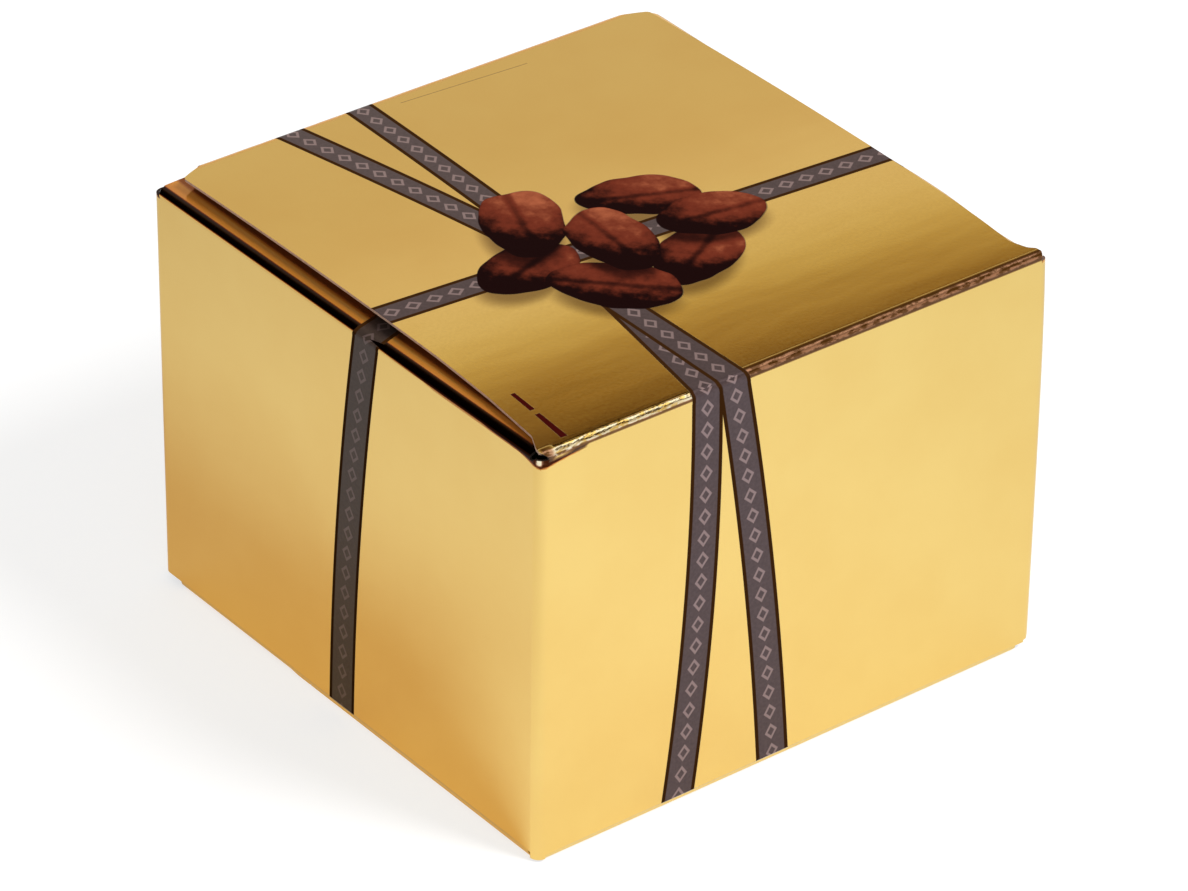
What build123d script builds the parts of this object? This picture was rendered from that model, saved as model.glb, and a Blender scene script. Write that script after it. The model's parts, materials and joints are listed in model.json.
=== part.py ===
from build123d import *

import math
import os

# Gold tuck-top chocolate carton with its inner bag of truffles, in millimetres.
# The origin is the middle of the base, +Z is up and -Y is the front panel that carries the lid.

# Carton
box_width = 120.0
box_depth = 120.0
board = 0.5
crease_height = 87.0
corner_radius = 2.0
corner_foot = 0.5
rear_panel_drop = 0.3
cut_overrun = 1.0

# Top folds
lid_fold_radius = 1.3
side_fold_radius = 1.0
side_fold_drop = 0.5
lid_hinge_gap = 0.22
flap_hinge_gap = 0.12
fold_overlap_angle = 20.0

# Lid
lid_end_gap = 0.3
lid_side_inset = 4.3
lid_shoulder_length = 9.0
lid_shoulder_round = 6.0
lid_rear_rise = 1.6
lid_crown = 1.1
lid_clip_width = 5.0
lid_clip_length = 3.0

# Tuck flap
tuck_fold_inset = 1.1
tuck_length = 19.0
tuck_lean = 9.0
tuck_corner_radius = 9.0
tuck_end_gap = 0.3

# Dust flaps
dust_reach = 50.0
dust_front_gap = 0.3
dust_front_taper = 32.0
dust_rear_gap = 3.0
dust_step_reach = 7.0
dust_step_run = 1.8
dust_step_depth = 2.6
dust_rear_taper = 7.0
dust_corner_radius = 4.0

# Glue flap
glue_flap_width = 14.0
glue_flap_taper = 5.0
rear_edge_inset = 1.0

# Auto-lock bottom
bottom_fold_radius = 1.3
seam_offset = 12.0
seam_gap = 0.3
hook_lean = 5.0
hook_radius = 3.0
web_length = 40.0
web_side_gap = 0.4
side_flap_reach = 42.0
side_flap_front_taper = 30.0
side_flap_rear_gap = 6.0
side_flap_rear_taper = 12.0
side_flap_radius = 4.0
relief_width = 4.0
relief_height = 3.2
relief_curve_share = 0.29

# Inner bag
film = 0.3
rest_gap = 0.3
bag_side_gap = 3.0
bag_corner_radius = 16.0
bag_foot_radius = 3.0
bag_shoulder = 12.0
bag_crown = 3.0
seal_width = 9.0
seal_inset = 8.0
seal_thickness = 0.6
crimp_count = 17
crimp_depth_share = 0.5
crimp_width_share = 0.5

# Truffles
truffle_length = 25.0
truffle_width = 23.0
truffle_height = 22.0
truffle_bevel = 6.5
truffles_per_side = 4
truffle_turn = 14.0
truffle_side_gap = 1.2
turn_steps = 3

half_width = box_width / 2
half_depth = box_depth / 2
side_crease_height = crease_height - side_fold_drop
rear_panel_top = crease_height - rear_panel_drop

os.makedirs("parts", exist_ok=True)


def on_circle(centre, radius, angle):
    """Return the point of a circle at an angle in degrees."""
    turn = math.radians(angle)
    return (centre[0] + radius * math.cos(turn), centre[1] + radius * math.sin(turn))


def draw_bend(centre, outer_radius, start_angle, end_angle):
    """Draw a stretch of board that is bent about a centre."""
    inner_radius = outer_radius - board
    with BuildLine() as bend:
        CenterArc(centre, outer_radius, start_angle, end_angle - start_angle)
        CenterArc(centre, inner_radius, start_angle, end_angle - start_angle)
        Line(on_circle(centre, inner_radius, start_angle), on_circle(centre, outer_radius, start_angle))
        Line(on_circle(centre, inner_radius, end_angle), on_circle(centre, outer_radius, end_angle))
    make_face(bend.edges())


def draw_strip(start, end):
    """Draw a box-shaped stretch between two opposite corners."""
    with BuildLine() as strip:
        Polyline(start, (end[0], start[1]), end, (start[0], end[1]), close=True)
    make_face(strip.edges())


def cut_hinge_seat(plane, centre, radius, length):
    """Hollow a panel's top edge round the fold that turns over it."""
    with BuildSketch(plane) as seat:
        with Locations(centre):
            Circle(radius)
    extrude(seat.sketch, amount=length, both=True, mode=Mode.SUBTRACT)


def cut_corner_relief(corner, outward):
    """Cut the relief slot where two bottom flaps part at a corner."""
    across = relief_width / math.sqrt(2)
    plane = Plane(origin=(corner[0], corner[1], 0), x_dir=(-outward[1], outward[0], 0), z_dir=outward)
    with BuildSketch(plane) as slot:
        with BuildLine():
            for side in (-1, 1):
                bend = (side * across * relief_curve_share, relief_height * relief_curve_share)
                ThreePointArc((side * across, 0), bend, (0, relief_height))
                Line((side * across, 0), (side * across, -cut_overrun))
            Line((-across, -cut_overrun), (across, -cut_overrun))
        make_face()
    extrude(slot.sketch, amount=relief_width, both=True, mode=Mode.SUBTRACT)


# Wall planes: each starts at its panel's outer corner, runs along the panel, and has local y inwards
front_plane = Plane(origin=(-half_width, -half_depth, 0), x_dir=(1, 0, 0), z_dir=(0, 0, 1))
right_plane = Plane(origin=(half_width, -half_depth, 0), x_dir=(0, 1, 0), z_dir=(0, 0, 1))
rear_plane = Plane(origin=(half_width, half_depth, 0), x_dir=(-1, 0, 0), z_dir=(0, 0, 1))
left_plane = Plane(origin=(-half_width, half_depth, 0), x_dir=(0, -1, 0), z_dir=(0, 0, 1))

# Hinge centres: the lid's and tuck flap's in Y and Z, the dust flaps' in X and Z
lid_hinge = (-half_depth + lid_fold_radius, crease_height)
tuck_hinge = (half_depth - tuck_fold_inset - lid_fold_radius, crease_height + lid_rear_rise)
left_hinge = (-half_width + side_fold_radius, side_crease_height)
right_hinge = (half_width - side_fold_radius, side_crease_height)

front_foot = bottom_fold_radius
side_foot = board + bottom_fold_radius
lid_seat_radius = lid_fold_radius + lid_hinge_gap
side_seat_radius = side_fold_radius + flap_hinge_gap
tuck_seat_radius = lid_fold_radius + flap_hinge_gap
corner_centre = (corner_radius, corner_radius)
seam_corner_centre = (corner_radius, board + corner_radius)

# Front panel, with the fold at its left
with BuildPart() as front_panel:
    with BuildSketch(front_plane.offset(front_foot)):
        draw_strip((corner_radius, 0), (box_width - corner_radius, board))
    extrude(amount=crease_height - front_foot)
    with BuildSketch(front_plane.offset(corner_foot)):
        draw_bend(corner_centre, corner_radius, 180, 270)
    extrude(amount=crease_height - corner_foot)
    cut_hinge_seat(Plane.YZ, lid_hinge, lid_seat_radius, box_width)
    cut_corner_relief((half_width, -half_depth), (1, -1, 0))
front_panel.part.label = "front_panel"

# Right panel, with the fold at its front
with BuildPart() as right_panel:
    with BuildSketch(right_plane.offset(side_foot)):
        draw_strip((corner_radius, 0), (box_depth - board - corner_radius, board))
        draw_bend(corner_centre, corner_radius, 180, 270)
    extrude(amount=side_crease_height - side_foot)
    cut_hinge_seat(Plane.XZ, right_hinge, side_seat_radius, box_depth)
    cut_hinge_seat(Plane.YZ, lid_hinge, lid_seat_radius, box_width)
    cut_corner_relief((half_width, -half_depth), (1, -1, 0))
right_panel.part.label = "right_panel"

# Left panel, with the fold at its rear
with BuildPart() as left_panel:
    with BuildSketch(left_plane.offset(side_foot)):
        draw_strip((corner_radius, 0), (box_depth - corner_radius, board))
        draw_bend(corner_centre, corner_radius, 180, 270)
    extrude(amount=side_crease_height - side_foot)
    cut_hinge_seat(Plane.XZ, left_hinge, side_seat_radius, box_depth)
    cut_hinge_seat(Plane.YZ, lid_hinge, lid_seat_radius, box_width)
    cut_corner_relief((-half_width, half_depth), (-1, 1, 0))
left_panel.part.label = "left_panel"

# Rear panel, glued over the glue flap, with a plain cut top edge
with BuildPart() as rear_panel:
    with BuildSketch(rear_plane.offset(front_foot)):
        draw_strip((rear_edge_inset, 0), (box_width - corner_radius, board))
    extrude(amount=rear_panel_top - front_foot)
    cut_corner_relief((-half_width, half_depth), (-1, 1, 0))
rear_panel.part.label = "rear_panel"

# Glue flap: the right panel's rear fold and the tapered strip inside the rear panel
with BuildPart() as glue_flap:
    with BuildSketch(rear_plane.offset(corner_foot)):
        draw_bend(seam_corner_centre, corner_radius, 180, 270)
    extrude(amount=side_crease_height - side_fold_radius - corner_foot)
    with BuildSketch(Plane.XZ.offset(-(half_depth - board))):
        with BuildLine():
            Polyline(
                (half_width - corner_radius, side_foot),
                (half_width - corner_radius, side_crease_height - side_fold_radius),
                (half_width - glue_flap_width, side_crease_height - side_fold_radius - glue_flap_taper),
                (half_width - glue_flap_width, side_foot + glue_flap_taper),
                close=True,
            )
        make_face()
    extrude(amount=board)
glue_flap.part.label = "glue_flap"

# Arch of the lid: the arc that joins the two hinge centres
hinge_span = math.dist(lid_hinge, tuck_hinge)
arch_radius = (hinge_span ** 2 / 4 + lid_crown ** 2) / (2 * lid_crown)
span_slope = math.atan2(tuck_hinge[1] - lid_hinge[1], tuck_hinge[0] - lid_hinge[0])
arch_drop = arch_radius - lid_crown
arch_centre = (
    (lid_hinge[0] + tuck_hinge[0]) / 2 + arch_drop * math.sin(span_slope),
    (lid_hinge[1] + tuck_hinge[1]) / 2 - arch_drop * math.cos(span_slope),
)
arch_half_turn = math.degrees(math.asin(hinge_span / 2 / arch_radius))
lid_start_angle = 90 + math.degrees(span_slope) + arch_half_turn
lid_end_angle = 90 + math.degrees(span_slope) - arch_half_turn
lid_half_width = half_width - lid_side_inset
hinge_half_width = half_width - lid_end_gap
tuck_half_width = lid_half_width - lid_clip_width
lid_top = crease_height + lid_fold_radius + lid_rear_rise + lid_crown
lid_cut_start = side_crease_height - cut_overrun

# Lid panel: curled over the hinge at the front, arched, shouldered, and clipped at the tuck end
with BuildPart() as lid_panel:
    with BuildSketch(Plane.YZ):
        draw_bend(lid_hinge, lid_fold_radius, lid_start_angle, 180 + fold_overlap_angle)
        draw_bend(arch_centre, arch_radius + lid_fold_radius, lid_end_angle, lid_start_angle)
        with Locations(tuck_hinge):
            Circle(tuck_seat_radius, mode=Mode.SUBTRACT)
    extrude(amount=hinge_half_width, both=True)
    with BuildSketch(Plane.XY.offset(lid_cut_start)):
        with BuildLine():
            Polyline(
                (-hinge_half_width, -half_depth - cut_overrun),
                (hinge_half_width, -half_depth - cut_overrun),
                (hinge_half_width, lid_hinge[0]),
                (lid_half_width, -half_depth + lid_shoulder_length),
                (lid_half_width, tuck_hinge[0] - lid_clip_length),
                (tuck_half_width, tuck_hinge[0]),
                (-tuck_half_width, tuck_hinge[0]),
                (-lid_half_width, tuck_hinge[0] - lid_clip_length),
                (-lid_half_width, -half_depth + lid_shoulder_length),
                (-hinge_half_width, lid_hinge[0]),
                close=True,
            )
        lid_face = make_face()
        shoulders = lid_face.vertices().filter_by_position(
            Axis.Y, -half_depth + lid_shoulder_length / 2, -half_depth + lid_shoulder_length * 2
        )
        fillet(shoulders, radius=lid_shoulder_round)
    extrude(amount=lid_top - lid_cut_start, mode=Mode.INTERSECT)
lid_panel.part.label = "lid_panel"

# Tuck flap: its curl seats in the lid's rear edge and its tongue hangs inside the rear panel
tuck_start = on_circle(tuck_hinge, lid_fold_radius, -tuck_lean)
tuck_curl_end = lid_end_angle + fold_overlap_angle
tuck_plane = Plane(
    origin=(0, tuck_start[0], tuck_start[1]),
    x_dir=(1, 0, 0),
    z_dir=(0, math.cos(math.radians(tuck_lean)), -math.sin(math.radians(tuck_lean))),
)
with BuildPart() as tuck_flap:
    with BuildSketch(Plane.YZ):
        draw_bend(tuck_hinge, lid_fold_radius, -tuck_lean, tuck_curl_end)
    extrude(amount=tuck_half_width - tuck_end_gap, both=True)
    with BuildSketch(tuck_plane) as tuck_sketch:
        draw_strip((-(tuck_half_width - tuck_end_gap), 0), (tuck_half_width - tuck_end_gap, tuck_length))
        fillet(tuck_sketch.vertices().group_by(Axis.Z)[0], radius=tuck_corner_radius)
    extrude(amount=-board)
tuck_flap.part.label = "tuck_flap"

# Left dust flap: curled over the left panel, cut back at the front for the lid and at the rear for the tuck
dust_front = lid_hinge[0] + lid_fold_radius + dust_front_gap
dust_rear = half_depth - dust_rear_gap
dust_step_end = dust_step_reach + dust_step_run
with BuildPart() as left_dust_flap:
    with BuildSketch(Plane.XZ):
        draw_bend(left_hinge, side_fold_radius, 90, 180 + fold_overlap_angle)
        draw_strip(
            (left_hinge[0], left_hinge[1] + side_fold_radius - board),
            (-half_width + dust_reach, left_hinge[1] + side_fold_radius),
        )
    extrude(amount=half_depth, both=True)
    with BuildSketch(Plane.XY.offset(side_crease_height - side_fold_radius * 2)):
        with BuildLine():
            Polyline(
                (-half_width - cut_overrun, dust_front),
                (left_hinge[0], dust_front),
                (-half_width + dust_reach, dust_front + dust_front_taper),
                (-half_width + dust_reach, dust_rear - dust_step_depth - dust_rear_taper),
                (-half_width + dust_step_end, dust_rear - dust_step_depth),
                (-half_width + dust_step_reach, dust_rear),
                (-half_width - cut_overrun, dust_rear),
                close=True,
            )
        dust_face = make_face()
        fillet(dust_face.vertices().group_by(Axis.X)[-1], radius=dust_corner_radius)
    extrude(amount=side_fold_radius * 4, mode=Mode.INTERSECT)
left_dust_flap.part.label = "left_dust_flap"

# Right dust flap, the left one's mirror image
with BuildPart() as right_dust_flap:
    mirror(left_dust_flap.part, about=Plane.YZ)
right_dust_flap.part.label = "right_dust_flap"

# Bottom: front and rear flaps hook into each other along one seam that is the same after half a turn
bottom_fold = (-half_depth + bottom_fold_radius, bottom_fold_radius)
web_start = (-half_width + board + web_side_gap, bottom_fold[0])
web_end = (web_start[0], web_start[1] + web_length)
seam_half = seam_gap / 2
relief_end = half_width - relief_width


def draw_front_flap_outline():
    """Draw the plan of the bottom's front flap with its hook and its glued corner."""
    with BuildLine() as outline:
        Polyline(
            (-half_width + corner_radius, -half_depth - cut_overrun),
            (relief_end, -half_depth - cut_overrun),
            (relief_end, -half_depth + relief_width),
            (half_width - board - web_side_gap, -seam_offset - seam_half - relief_width),
            (half_width - board - web_side_gap, -seam_offset - seam_half),
            (-hook_lean - seam_half, -seam_offset - seam_half),
            (hook_lean - seam_half, seam_offset - seam_half),
            (web_start[0], seam_offset - seam_half),
            (web_start[0], bottom_fold[0]),
            (-half_width + corner_radius, bottom_fold[0]),
            close=True,
        )
    make_face(outline.edges())


def draw_web_outline():
    """Draw the plan of the corner that is glued under the left side flap."""
    with BuildLine() as outline:
        Polyline(web_start, web_end, (web_start[0] + web_length, web_start[1]), close=True)
    make_face(outline.edges())


with BuildPart() as bottom_front_flap:
    with BuildSketch(Plane.YZ):
        draw_bend(bottom_fold, bottom_fold_radius, 180, 270)
        draw_strip((bottom_fold[0], 0), (seam_offset, board))
    extrude(amount=half_width, both=True)
    with BuildSketch(Plane.XY) as front_flap_plan:
        draw_front_flap_outline()
        hook_corners = front_flap_plan.vertices().filter_by_position(Axis.X, -hook_lean * 2, hook_lean * 2)
        fillet(hook_corners, radius=hook_radius)
    extrude(amount=bottom_fold_radius, mode=Mode.INTERSECT)
    with BuildSketch(Plane.XY):
        draw_web_outline()
    extrude(amount=board, mode=Mode.SUBTRACT)
bottom_front_flap.part.label = "bottom_front_flap"

with BuildPart() as left_glue_web:
    with BuildSketch(Plane.XY):
        draw_web_outline()
    extrude(amount=board)
left_glue_web.part.label = "left_glue_web"

with BuildPart() as bottom_rear_flap:
    add(bottom_front_flap.part.rotate(Axis.Z, 180))
bottom_rear_flap.part.label = "bottom_rear_flap"

with BuildPart() as right_glue_web:
    add(left_glue_web.part.rotate(Axis.Z, 180))
right_glue_web.part.label = "right_glue_web"

# Bottom side flaps: each lies on the glued web of its corner
side_bottom_fold = (-half_width + bottom_fold_radius, side_foot)
side_flap_start = -half_depth + corner_radius + board
with BuildPart() as bottom_left_flap:
    with BuildSketch(Plane.XZ):
        draw_bend(side_bottom_fold, bottom_fold_radius, 180, 270)
        draw_strip((side_bottom_fold[0], board), (-half_width + side_flap_reach, board * 2))
    extrude(amount=half_depth, both=True)
    with BuildSketch(Plane.XY):
        with BuildLine():
            Polyline(
                (-half_width - cut_overrun, side_flap_start),
                (side_bottom_fold[0], side_flap_start),
                (-half_width + side_flap_reach, side_flap_start + side_flap_front_taper),
                (-half_width + side_flap_reach, half_depth - side_flap_rear_gap - side_flap_rear_taper),
                (side_bottom_fold[0], half_depth - side_flap_rear_gap),
                (-half_width - cut_overrun, half_depth - side_flap_rear_gap),
                close=True,
            )
        side_flap_face = make_face()
        fillet(side_flap_face.vertices().group_by(Axis.X)[-1], radius=side_flap_radius)
    extrude(amount=side_foot, mode=Mode.INTERSECT)
bottom_left_flap.part.label = "bottom_left_flap"

with BuildPart() as bottom_right_flap:
    add(bottom_left_flap.part.rotate(Axis.Z, 180))
bottom_right_flap.part.label = "bottom_right_flap"

# Truffle: a block with every edge cut back
with BuildPart() as truffle:
    Box(truffle_length, truffle_width, truffle_height)
    chamfer(truffle.edges(), length=truffle_bevel)

bag_width = box_width - 2 * (board + bag_side_gap)
bag_depth = box_depth - 2 * (board + bag_side_gap)
bag_floor = board * 2 + rest_gap
pitch_x = (bag_width - 2 * film - 2 * truffle_side_gap) / truffles_per_side
pitch_y = (bag_depth - 2 * film - 2 * truffle_side_gap) / truffles_per_side
lower_rest = bag_floor + film + rest_gap
upper_rest = lower_rest + truffle_height + rest_gap
bag_top = upper_rest + truffle_height + rest_gap


def truffle_places(rest_height, first_turn):
    """Return where the truffles of one layer lie, each turned a little from its neighbours."""
    middle = (truffles_per_side - 1) / 2
    places = []
    for row in range(truffles_per_side):
        for column in range(truffles_per_side):
            turn = truffle_turn * ((first_turn + row + 2 * column) % turn_steps - 1)
            spot = ((column - middle) * pitch_x, (row - middle) * pitch_y, rest_height + truffle_height / 2)
            places.append(Location(spot, (0, 0, turn)))
    return places


with BuildPart() as truffles_lower_layer:
    with Locations(*truffle_places(lower_rest, 0)):
        add(truffle.part)
truffles_lower_layer.part.label = "truffles_lower_layer"

with BuildPart() as truffles_upper_layer:
    with Locations(*truffle_places(upper_rest, 1)):
        add(truffle.part)
truffles_upper_layer.part.label = "truffles_upper_layer"

# Inner bag: the film round the sides and under the truffles
with BuildPart() as bag_body:
    with BuildSketch(Plane.XY.offset(bag_floor)):
        RectangleRounded(bag_width, bag_depth, bag_corner_radius)
    extrude(amount=bag_top - bag_floor)
    fillet(bag_body.faces().sort_by(Axis.Z)[0].edges(), radius=bag_foot_radius)
    offset(amount=-film, openings=bag_body.faces().sort_by(Axis.Z)[-1])
bag_body.part.label = "bag_body"

# Inner bag's top: the film gathered over the truffles
shoulder_size = (bag_width - 2 * bag_shoulder, bag_depth - 2 * bag_shoulder)
shoulder_radius = bag_corner_radius - bag_shoulder / 2
with BuildPart() as bag_top_film:
    with BuildSketch(Plane.XY.offset(bag_top)):
        RectangleRounded(bag_width, bag_depth, bag_corner_radius)
    with BuildSketch(Plane.XY.offset(bag_top + bag_crown)):
        RectangleRounded(*shoulder_size, shoulder_radius)
    loft()
    with BuildSketch(Plane.XY.offset(bag_top)):
        RectangleRounded(bag_width - 2 * film, bag_depth - 2 * film, bag_corner_radius - film)
    with BuildSketch(Plane.XY.offset(bag_top + bag_crown - film)):
        RectangleRounded(shoulder_size[0] - 2 * film, shoulder_size[1] - 2 * film, shoulder_radius - film)
    loft(mode=Mode.SUBTRACT)
bag_top_film.part.label = "bag_top_film"

# Inner bag's crimped seal, folded flat on the top
seal_length = shoulder_size[0] - 2 * seal_inset
crimp_pitch = seal_length / crimp_count
with BuildPart() as bag_seal:
    with BuildSketch(Plane.XY.offset(bag_top + bag_crown)):
        Rectangle(seal_length, seal_width)
    extrude(amount=seal_thickness)
    with BuildSketch(Plane.XY.offset(bag_top + bag_crown + seal_thickness)):
        with GridLocations(crimp_pitch, 0, crimp_count, 1):
            Rectangle(crimp_pitch * crimp_width_share, seal_width)
    extrude(amount=-seal_thickness * crimp_depth_share, mode=Mode.SUBTRACT)
bag_seal.part.label = "bag_seal"

pieces = (
    front_panel,
    right_panel,
    rear_panel,
    left_panel,
    glue_flap,
    lid_panel,
    tuck_flap,
    left_dust_flap,
    right_dust_flap,
    bottom_front_flap,
    bottom_rear_flap,
    bottom_left_flap,
    bottom_right_flap,
    left_glue_web,
    right_glue_web,
    bag_body,
    bag_top_film,
    bag_seal,
    truffles_lower_layer,
    truffles_upper_layer,
)
for piece in pieces:
    export_step(piece.part, f"parts/{piece.part.label}.step")
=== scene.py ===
"""Gold tuck-top chocolate carton: its folded board, its print, and its inner bag of truffles.

Sizes are in millimetres and become metres where a mesh is made. Each board piece is cut
flat in the blank's own coordinates (u along the walls, v up the walls and over the lid),
sliced where it bends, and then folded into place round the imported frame's hinges.
"""
from __future__ import annotations

import json
import logging
import math
import sys
from collections.abc import Callable, Sequence
from dataclasses import dataclass, field
from enum import Enum

import bmesh
import bpy
from mathutils import Matrix, Vector, noise

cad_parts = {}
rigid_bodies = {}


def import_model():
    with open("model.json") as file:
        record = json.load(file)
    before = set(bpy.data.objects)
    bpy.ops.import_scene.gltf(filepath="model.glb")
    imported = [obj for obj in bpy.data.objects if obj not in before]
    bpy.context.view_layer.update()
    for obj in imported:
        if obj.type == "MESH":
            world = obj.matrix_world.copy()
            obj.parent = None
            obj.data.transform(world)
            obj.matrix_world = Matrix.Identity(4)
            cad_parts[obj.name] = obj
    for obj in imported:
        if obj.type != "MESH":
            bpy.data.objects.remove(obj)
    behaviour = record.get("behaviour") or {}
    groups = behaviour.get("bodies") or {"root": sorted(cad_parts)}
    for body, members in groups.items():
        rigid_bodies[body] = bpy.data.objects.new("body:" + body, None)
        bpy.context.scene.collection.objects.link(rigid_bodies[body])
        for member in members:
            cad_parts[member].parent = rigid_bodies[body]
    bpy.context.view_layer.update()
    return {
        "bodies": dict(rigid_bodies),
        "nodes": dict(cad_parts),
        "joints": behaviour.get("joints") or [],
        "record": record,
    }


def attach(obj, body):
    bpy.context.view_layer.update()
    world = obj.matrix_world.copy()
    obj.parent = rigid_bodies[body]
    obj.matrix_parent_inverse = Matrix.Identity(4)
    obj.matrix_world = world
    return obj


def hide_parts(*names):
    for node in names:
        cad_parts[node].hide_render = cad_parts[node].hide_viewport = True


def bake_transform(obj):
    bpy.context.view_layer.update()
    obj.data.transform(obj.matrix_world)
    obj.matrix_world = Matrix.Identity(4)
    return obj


LOG = logging.getLogger("carton")
MM = 0.001
BOARD = 0.5
HALF = 60.0
WALL_TOP = 86.15
CREASE_HEIGHT = 87.0
FOLD_RADIUS = 1.3
FLAP_WAVE = 0.5
FLAP_WAVE_FADE = 10.0
WHITE = (1.0, 1.0, 1.0)

Point2 = tuple[float, float]
Point3 = tuple[float, float, float]
Colour = tuple[float, float, float]
Keys = tuple[tuple[float, Colour], ...]
Socket = bpy.types.NodeSocket
Material = bpy.types.Material
FoldMap = Callable[[float, float], Vector]
Marks = Callable[[float, float], Point2]
Inputs = dict[int | str, object]


def steps(start: float, end: float, count: int) -> list[float]:
    """Return evenly spaced values from start to end, both included."""
    return [start + (end - start) * i / count for i in range(count + 1)]


def held(value: float) -> float:
    """Return a value held between 0 and 1."""
    return max(0.0, min(1.0, value))


def near(value: float, start: float, end: float, soft: float = 0.6) -> float:
    """Return 1 between start and end, falling to 0 over a soft margin outside."""
    return max(0.0, 1.0 - max(start - value, value - end, 0.0) / soft)


# Materials


class Number:
    """A number in a node tree. Sums and products of such numbers add math nodes."""

    def __init__(self, graph: Graph, socket: Socket) -> None:
        """Keep the socket that gives the number, and its graph."""
        self.graph = graph
        self.socket = socket

    def __add__(self, other: object) -> Number:
        """Add."""
        return self.graph.math("ADD", self, other)

    def __sub__(self, other: object) -> Number:
        """Subtract."""
        return self.graph.math("SUBTRACT", self, other)

    def __rsub__(self, other: object) -> Number:
        """Subtract this from a plain number."""
        return self.graph.math("SUBTRACT", other, self)

    def __mul__(self, other: object) -> Number:
        """Multiply."""
        return self.graph.math("MULTIPLY", self, other)

    def __truediv__(self, other: object) -> Number:
        """Divide."""
        return self.graph.math("DIVIDE", self, other)

    def __abs__(self) -> Number:
        """Drop the sign."""
        return self.graph.math("ABSOLUTE", self)

    def held(self) -> Number:
        """Hold the number between 0 and 1."""
        return self.graph.math("ADD", self, 0.0, clamp=True)

    def step(self, low: float, high: float) -> Number:
        """Map the number to 0 below low and 1 above high, smoothly between."""
        inputs = {"Value": self, "From Min": low, "From Max": high}
        return self.graph.number("MapRange", inputs, interpolation_type="SMOOTHSTEP")

    __radd__ = __add__
    __rmul__ = __mul__


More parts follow.
